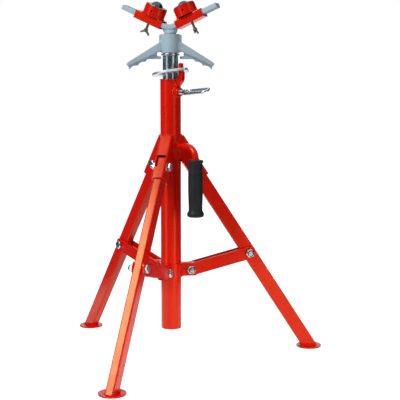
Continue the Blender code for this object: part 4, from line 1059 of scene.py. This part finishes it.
def make_ball_transfers():
    """Two ball transfers: a lipped housing and a big ball on small ones."""
    bottom = CUP_TOP + CLEARANCE
    top = bottom + LIP_THICKNESS
    bowl = arc_points((0, BALL_HEIGHT), RACE_RADIUS, -math.pi / 2, 0, ARC_STEPS)
    shell = [(0, HOUSING_FLOOR), (HOUSING_RADIUS, HOUSING_FLOOR), (HOUSING_RADIUS, bottom),
             (RACE_RADIUS, bottom)]
    shell += list(reversed(bowl))[:-1] + [(0, BALL_HEIGHT - RACE_RADIUS)]
    lip = [(mouth_radius(bottom), bottom), (LIP_RADIUS, bottom), (LIP_RADIUS, top), (mouth_radius(top), top)]
    for hand in HANDS:
        body = "saddle_" + hand
        node = "ball_" + hand
        finish_piece("transfer_body_" + hand, lathe(shell, closed=False), hole_shade_steel, body,
                     ["ball_housing_" + hand], cup_frame(hand))
        bm = lathe(lip)
        round_edges(bm, sizes().bolt_edge, segments=3)
        finish_piece("transfer_lip_" + hand, bm, yellow_zinc, body, (), cup_frame(hand))
        dress_node("bearing_ring_" + hand, polished_ball)
        ball = bmesh.new()
        bmesh.ops.create_uvsphere(ball, u_segments=64, v_segments=32, radius=BALL_RADIUS)
        finish_piece("main_ball_" + hand, ball, polished_ball, node, [node],
                     Matrix.Translation(joint_place(node + "_roll")))


def make_thumb_screws():
    """Two thumb screws with bent wings and a cut thread."""
    length = SADDLE_HEIGHT - SADDLE_TOP + WING_SCREW_REACH - VEE_THICKNESS
    for hand in HANDS:
        node = "wing_screw_" + hand
        rounded_copy(node, "thumb_screw_" + hand, sizes().plate_edge, yellow_zinc, node, segments=3)
        thread = thread_ridge(WING_SCREW_RADIUS - WING_THREAD_HALF_DEPTH,
                              WING_SCREW_RADIUS + WING_THREAD_HALF_DEPTH, sizes().screw_pitch, length)
        place = arm_frame(hand, joint_place(node + "_turn"))
        down = Matrix.Translation((0, 0, -length - WING_THREAD_DROP))
        finish_piece("thumb_thread_" + hand, thread, yellow_zinc, node, (), place @ down)


# Stage

CAMERA_TURN = math.radians(21.4)
CAMERA_DROP = math.radians(7.268)
CAMERA_SWING = math.radians(1.629)
CAMERA_AWAY = 2.2634
CAMERA_HEIGHT = 0.6352
CAMERA_LENS = 92.806
CAMERA_SENSOR = 36
FLOOR_HALF = 6.0
# Places of the softboxes, what they face, and their widths and heights, in metres
LIGHT_TARGET = (0, 0, 0.35)
KEY_PLACE = (-1.10, -1.70, 2.10)
KEY_SIZE = (1.25, 0.95)
FILL_PLACE = (1.72, -0.75, 0.75)
FILL_SIZE = (1.0, 0.8)
STRIP_TARGET = (0, 0, 0.06)
STRIP_PLACE = (1.35, -0.75, 0.14)
STRIP_SIZE = (0.9, 0.24)
STRIP_SPREAD = math.radians(24)
SCREEN_RADIUS = 3.0
SCREEN_HEIGHT = 3.0
SCREEN_FOOT = 0.75
SCREEN_LIFT = 0.004
SCREEN_STEPS = 24
# Turns about the middle where each dark screen starts and ends, in degrees
SCREENS = {"front_screen": (-116, -36), "right_screen": (-13, 90), "left_screen": (133, 222)}


class RollerStandStage(bpy.types.PropertyGroup):
    """Light and floor"""

    key_power: power_setting("Key", "Power of the upper left softbox", 50)
    fill_power: power_setting("Fill", "Power of the softbox on the right", 5.0)
    low_fill_power: power_setting("Low Fill", "Power of the strip by the floor", 0.6)
    room: FloatProperty(name="Room", description="Level of the light from all round", default=0.35, min=0)
    floor_glow: FloatProperty(
        name="Floor Glow", description="Whiteness that the floor adds to its own colour where it is seen",
        default=0.85, min=0)
    floor: colour_setting("Floor", "Colour of the floor", (0.8, 0.8, 0.8))
    cloth: colour_setting("Cloth", "Colour of the dark screens", (0.09, 0.11, 0.11))


def seen_directly(tree):
    """A value that is 1 for what the camera, a mirror or glass sees directly."""
    path = tree.nodes.new("ShaderNodeLightPath")
    total = path.outputs["Is Camera Ray"]
    for label in ("Is Glossy Ray", "Is Transmission Ray"):
        larger = tree.nodes.new("ShaderNodeMath")
        larger.operation = "MAXIMUM"
        tree.links.new(total, larger.inputs[0])
        tree.links.new(path.outputs[label], larger.inputs[1])
        total = larger.outputs[0]
    return total


def make_world(stage):
    """A room of even light that is seen as white."""
    world = bpy.data.worlds.new("studio_room")
    world.use_nodes = True
    tree = world.node_tree
    tree.nodes.clear()
    room = tree.nodes.new("ShaderNodeBackground")
    room.inputs["Strength"].default_value = stage.room
    white = tree.nodes.new("ShaderNodeBackground")
    white.inputs["Color"].default_value = (1, 1, 1, 1)
    choose = tree.nodes.new("ShaderNodeMixShader")
    output = tree.nodes.new("ShaderNodeOutputWorld")
    tree.links.new(seen_directly(tree), choose.inputs[0])
    tree.links.new(room.outputs[0], choose.inputs[1])
    tree.links.new(white.outputs[0], choose.inputs[2])
    tree.links.new(choose.outputs[0], output.inputs[0])
    bpy.context.scene.world = world


def pale_floor(stage):
    """A matte floor that glows to white where it is seen."""
    material = bpy.data.materials.new("pale_floor")
    material.use_nodes = True
    tree = material.node_tree
    tree.nodes.clear()
    matte = tree.nodes.new("ShaderNodeBsdfDiffuse")
    matte.inputs["Color"].default_value = (*stage.floor, 1)
    glow = tree.nodes.new("ShaderNodeEmission")
    both = tree.nodes.new("ShaderNodeAddShader")
    output = tree.nodes.new("ShaderNodeOutputMaterial")
    level = tree.nodes.new("ShaderNodeMath")
    level.operation = "MULTIPLY"
    level.inputs[1].default_value = stage.floor_glow
    tree.links.new(seen_directly(tree), level.inputs[0])
    tree.links.new(level.outputs[0], glow.inputs["Strength"])
    tree.links.new(matte.outputs[0], both.inputs[0])
    tree.links.new(glow.outputs[0], both.inputs[1])
    tree.links.new(both.outputs[0], output.inputs["Surface"])
    return material


def dark_cloth(stage):
    """The dark cloth of the screens."""
    cloth = bpy.data.materials.new("dark_cloth")
    cloth.use_nodes = True
    set_sockets(cloth.node_tree.nodes["Principled BSDF"], {"Base Color": (*stage.cloth, 1), "Roughness": 1.0})
    return cloth


def stage_object(name, bm, material):
    """Makes a shape an object with its material."""
    thing = new_object(name, mesh_of(name, bm))
    thing.data.materials.append(material)
    return thing


def make_floor(stage):
    """A pale floor that is seen as white and keeps a soft shadow."""
    bm = bmesh.new()
    bmesh.ops.create_grid(bm, x_segments=2, y_segments=2, size=FLOOR_HALF)
    stage_object("studio_floor", bm, pale_floor(stage))


def make_screen(name, start, end, cloth):
    """A curved dark screen that only gloss paint and polished metal show."""
    bm = bmesh.new()
    near = bm.verts.new((SCREEN_FOOT, 0, SCREEN_LIFT))
    low = bm.verts.new((SCREEN_RADIUS, 0, SCREEN_LIFT))
    high = bm.verts.new((SCREEN_RADIUS, 0, SCREEN_HEIGHT))
    bm.edges.new((near, low))
    bm.edges.new((low, high))
    bmesh.ops.rotate(bm, verts=bm.verts, cent=(0, 0, 0), matrix=Matrix.Rotation(start, 3, "Z"))
    bmesh.ops.spin(bm, geom=bm.verts[:] + bm.edges[:], cent=(0, 0, 0), axis=(0, 0, 1), dvec=(0, 0, 0),
                   angle=end - start, steps=SCREEN_STEPS, use_merge=False, use_duplicate=False)
    screen = stage_object(name, bm, cloth)
    screen.visible_camera = False
    screen.visible_diffuse = False
    screen.visible_shadow = False
    screen.visible_transmission = False


def make_light(name, place, target, size, power, mirrored):
    """A softbox that faces a point; gloss shows it only where it is mirrored."""
    light = bpy.data.lights.new(name, "AREA")
    light.shape = "RECTANGLE"
    light.size, light.size_y = size
    light.energy = power
    lamp = new_object(name, light)
    lamp.location = place
    lamp.rotation_euler = (Vector(target) - Vector(place)).to_track_quat("-Z", "Y").to_euler()
    lamp.visible_camera = False
    lamp.visible_glossy = mirrored
    return light


def make_camera():
    """A camera where the photograph was taken from."""
    away = Vector((-math.sin(CAMERA_TURN), math.cos(CAMERA_TURN), 0))
    right = Vector((math.cos(CAMERA_TURN), math.sin(CAMERA_TURN), 0))
    level = math.cos(CAMERA_SWING) * away + math.sin(CAMERA_SWING) * right
    forward = math.cos(CAMERA_DROP) * level - math.sin(CAMERA_DROP) * Vector((0, 0, 1))
    side = math.cos(CAMERA_SWING) * right - math.sin(CAMERA_SWING) * away
    upward = side.cross(forward)
    place = POST_AXIS - CAMERA_AWAY * away + CAMERA_HEIGHT * Vector((0, 0, 1))
    data = bpy.data.cameras.new("studio_camera")
    data.sensor_width = CAMERA_SENSOR
    data.lens = CAMERA_LENS
    camera = new_object("studio_camera", data)
    turn = Matrix((side, upward, -forward)).transposed().to_4x4()
    camera.matrix_world = Matrix.Translation(place) @ turn
    bpy.context.scene.camera = camera


def make_stage():
    """Room, floor, softboxes, dark screens and camera."""
    stage = bpy.context.scene.roller_stand_stage
    make_world(stage)
    make_floor(stage)
    make_light("key_softbox", KEY_PLACE, LIGHT_TARGET, KEY_SIZE, stage.key_power, mirrored=True)
    make_light("fill_softbox", FILL_PLACE, LIGHT_TARGET, FILL_SIZE, stage.fill_power, mirrored=False)
    strip = make_light("floor_strip", STRIP_PLACE, STRIP_TARGET, STRIP_SIZE, stage.low_fill_power,
                       mirrored=False)
    strip.spread = STRIP_SPREAD
    cloth = dark_cloth(stage)
    for name, (start, end) in SCREENS.items():
        make_screen(name, math.radians(start), math.radians(end), cloth)
    make_camera()
    bpy.context.scene.view_settings.view_transform = "Standard"


# Operators


class ROLLERSTAND_OT_post(bpy.types.Operator):
    """The post's tube and the bushes in it"""

    bl_idname = "roller_stand.post"
    bl_label = "Post"

    def execute(self, context):
        make_post()
        return {"FINISHED"}


class ROLLERSTAND_OT_brackets(bpy.types.Operator):
    """Three welded leg brackets"""

    bl_idname = "roller_stand.brackets"
    bl_label = "Brackets"

    def execute(self, context):
        make_brackets()
        return {"FINISHED"}


class ROLLERSTAND_OT_legs(bpy.types.Operator):
    """Three legs with welded foot discs"""

    bl_idname = "roller_stand.legs"
    bl_label = "Legs"

    def execute(self, context):
        make_legs()
        return {"FINISHED"}


class ROLLERSTAND_OT_collar(bpy.types.Operator):
    """The sliding collar and its ears"""

    bl_idname = "roller_stand.collar"
    bl_label = "Collar"

    def execute(self, context):
        make_collar()
        return {"FINISHED"}


class ROLLERSTAND_OT_braces(bpy.types.Operator):
    """Six flat brace bars"""

    bl_idname = "roller_stand.braces"
    bl_label = "Braces"

    def execute(self, context):
        make_braces()
        return {"FINISHED"}


class ROLLERSTAND_OT_fasteners(bpy.types.Operator):
    """Every pivot bolt and nut"""

    bl_idname = "roller_stand.fasteners"
    bl_label = "Fasteners"

    def execute(self, context):
        make_fasteners()
        return {"FINISHED"}


class ROLLERSTAND_OT_handle(bpy.types.Operator):
    """The carry rod and its rubber grip"""

    bl_idname = "roller_stand.handle"
    bl_label = "Handle"

    def execute(self, context):
        make_handle()
        return {"FINISHED"}


class ROLLERSTAND_OT_lock(bpy.types.Operator):
    """The lock screw, its boss and its loop"""

    bl_idname = "roller_stand.lock"
    bl_label = "Lock"

    def execute(self, context):
        make_lock()
        return {"FINISHED"}


class ROLLERSTAND_OT_clutch(bpy.types.Operator):
    """The friction plate and its hook"""

    bl_idname = "roller_stand.clutch"
    bl_label = "Clutch"

    def execute(self, context):
        make_clutch()
        return {"FINISHED"}


class ROLLERSTAND_OT_mast(bpy.types.Operator):
    """The plated mast and its flange"""

    bl_idname = "roller_stand.mast"
    bl_label = "Mast"

    def execute(self, context):
        make_mast()
        return {"FINISHED"}


class ROLLERSTAND_OT_jack_nut(bpy.types.Operator):
    """The cast nut with two wings"""

    bl_idname = "roller_stand.jack_nut"
    bl_label = "Jack Nut"

    def execute(self, context):
        make_jack_nut()
        return {"FINISHED"}


class ROLLERSTAND_OT_vee_head(bpy.types.Operator):
    """The cast vee and the jack screw"""

    bl_idname = "roller_stand.vee_head"
    bl_label = "Vee Head"

    def execute(self, context):
        make_vee_head()
        return {"FINISHED"}


class ROLLERSTAND_OT_saddles(bpy.types.Operator):
    """Two sleeves with split cups"""

    bl_idname = "roller_stand.saddles"
    bl_label = "Saddles"

    def execute(self, context):
        make_saddles()
        return {"FINISHED"}


class ROLLERSTAND_OT_ball_transfers(bpy.types.Operator):
    """Two housings with their balls"""

    bl_idname = "roller_stand.ball_transfers"
    bl_label = "Ball Transfers"

    def execute(self, context):
        make_ball_transfers()
        return {"FINISHED"}


class ROLLERSTAND_OT_thumb_screws(bpy.types.Operator):
    """Two winged clamp screws"""

    bl_idname = "roller_stand.thumb_screws"
    bl_label = "Thumb Screws"

    def execute(self, context):
        make_thumb_screws()
        return {"FINISHED"}


class ROLLERSTAND_OT_stage(bpy.types.Operator):
    """Room, floor, light and camera"""

    bl_idname = "roller_stand.stage"
    bl_label = "Stage"

    def execute(self, context):
        make_stage()
        return {"FINISHED"}


OPERATORS = (
    ROLLERSTAND_OT_post,
    ROLLERSTAND_OT_brackets,
    ROLLERSTAND_OT_legs,
    ROLLERSTAND_OT_collar,
    ROLLERSTAND_OT_braces,
    ROLLERSTAND_OT_fasteners,
    ROLLERSTAND_OT_handle,
    ROLLERSTAND_OT_lock,
    ROLLERSTAND_OT_clutch,
    ROLLERSTAND_OT_mast,
    ROLLERSTAND_OT_jack_nut,
    ROLLERSTAND_OT_vee_head,
    ROLLERSTAND_OT_saddles,
    ROLLERSTAND_OT_ball_transfers,
    ROLLERSTAND_OT_thumb_screws,
    ROLLERSTAND_OT_stage,
)


class ROLLERSTAND_PT_sidebar(bpy.types.Panel):
    """Lists the stand's settings and pieces"""

    bl_idname = "ROLLERSTAND_PT_sidebar"
    bl_label = "Roller Stand"
    bl_space_type = "VIEW_3D"
    bl_region_type = "UI"
    bl_category = "Roller Stand"

    def draw(self, context):
        """Shows every setting, then a button for each piece."""
        scene = context.scene
        for group in (scene.roller_stand_colours, scene.roller_stand_sizes, scene.roller_stand_stage):
            box = self.layout.box()
            for name in group.__annotations__:
                box.prop(group, name)
        for operator in OPERATORS:
            self.layout.operator(operator.bl_idname)


GROUPS = {
    "roller_stand_colours": RollerStandColours,
    "roller_stand_sizes": RollerStandSizes,
    "roller_stand_stage": RollerStandStage,
}


def register():
    """Registers the settings, the operators and the panel."""
    for name, group in GROUPS.items():
        bpy.utils.register_class(group)
        setattr(bpy.types.Scene, name, PointerProperty(type=group))
    for operator in OPERATORS:
        bpy.utils.register_class(operator)
    bpy.utils.register_class(ROLLERSTAND_PT_sidebar)


def unregister():
    """Takes the panel, the operators and the settings away again."""
    bpy.utils.unregister_class(ROLLERSTAND_PT_sidebar)
    for operator in reversed(OPERATORS):
        bpy.utils.unregister_class(operator)
    for name, group in reversed(GROUPS.items()):
        delattr(bpy.types.Scene, name)
        bpy.utils.unregister_class(group)


def main():
    """Makes every piece."""
    register()
    for operator in OPERATORS:
        family, name = operator.bl_idname.split(".")
        getattr(getattr(bpy.ops, family), name)()


if __name__ == "__main__":
    main()
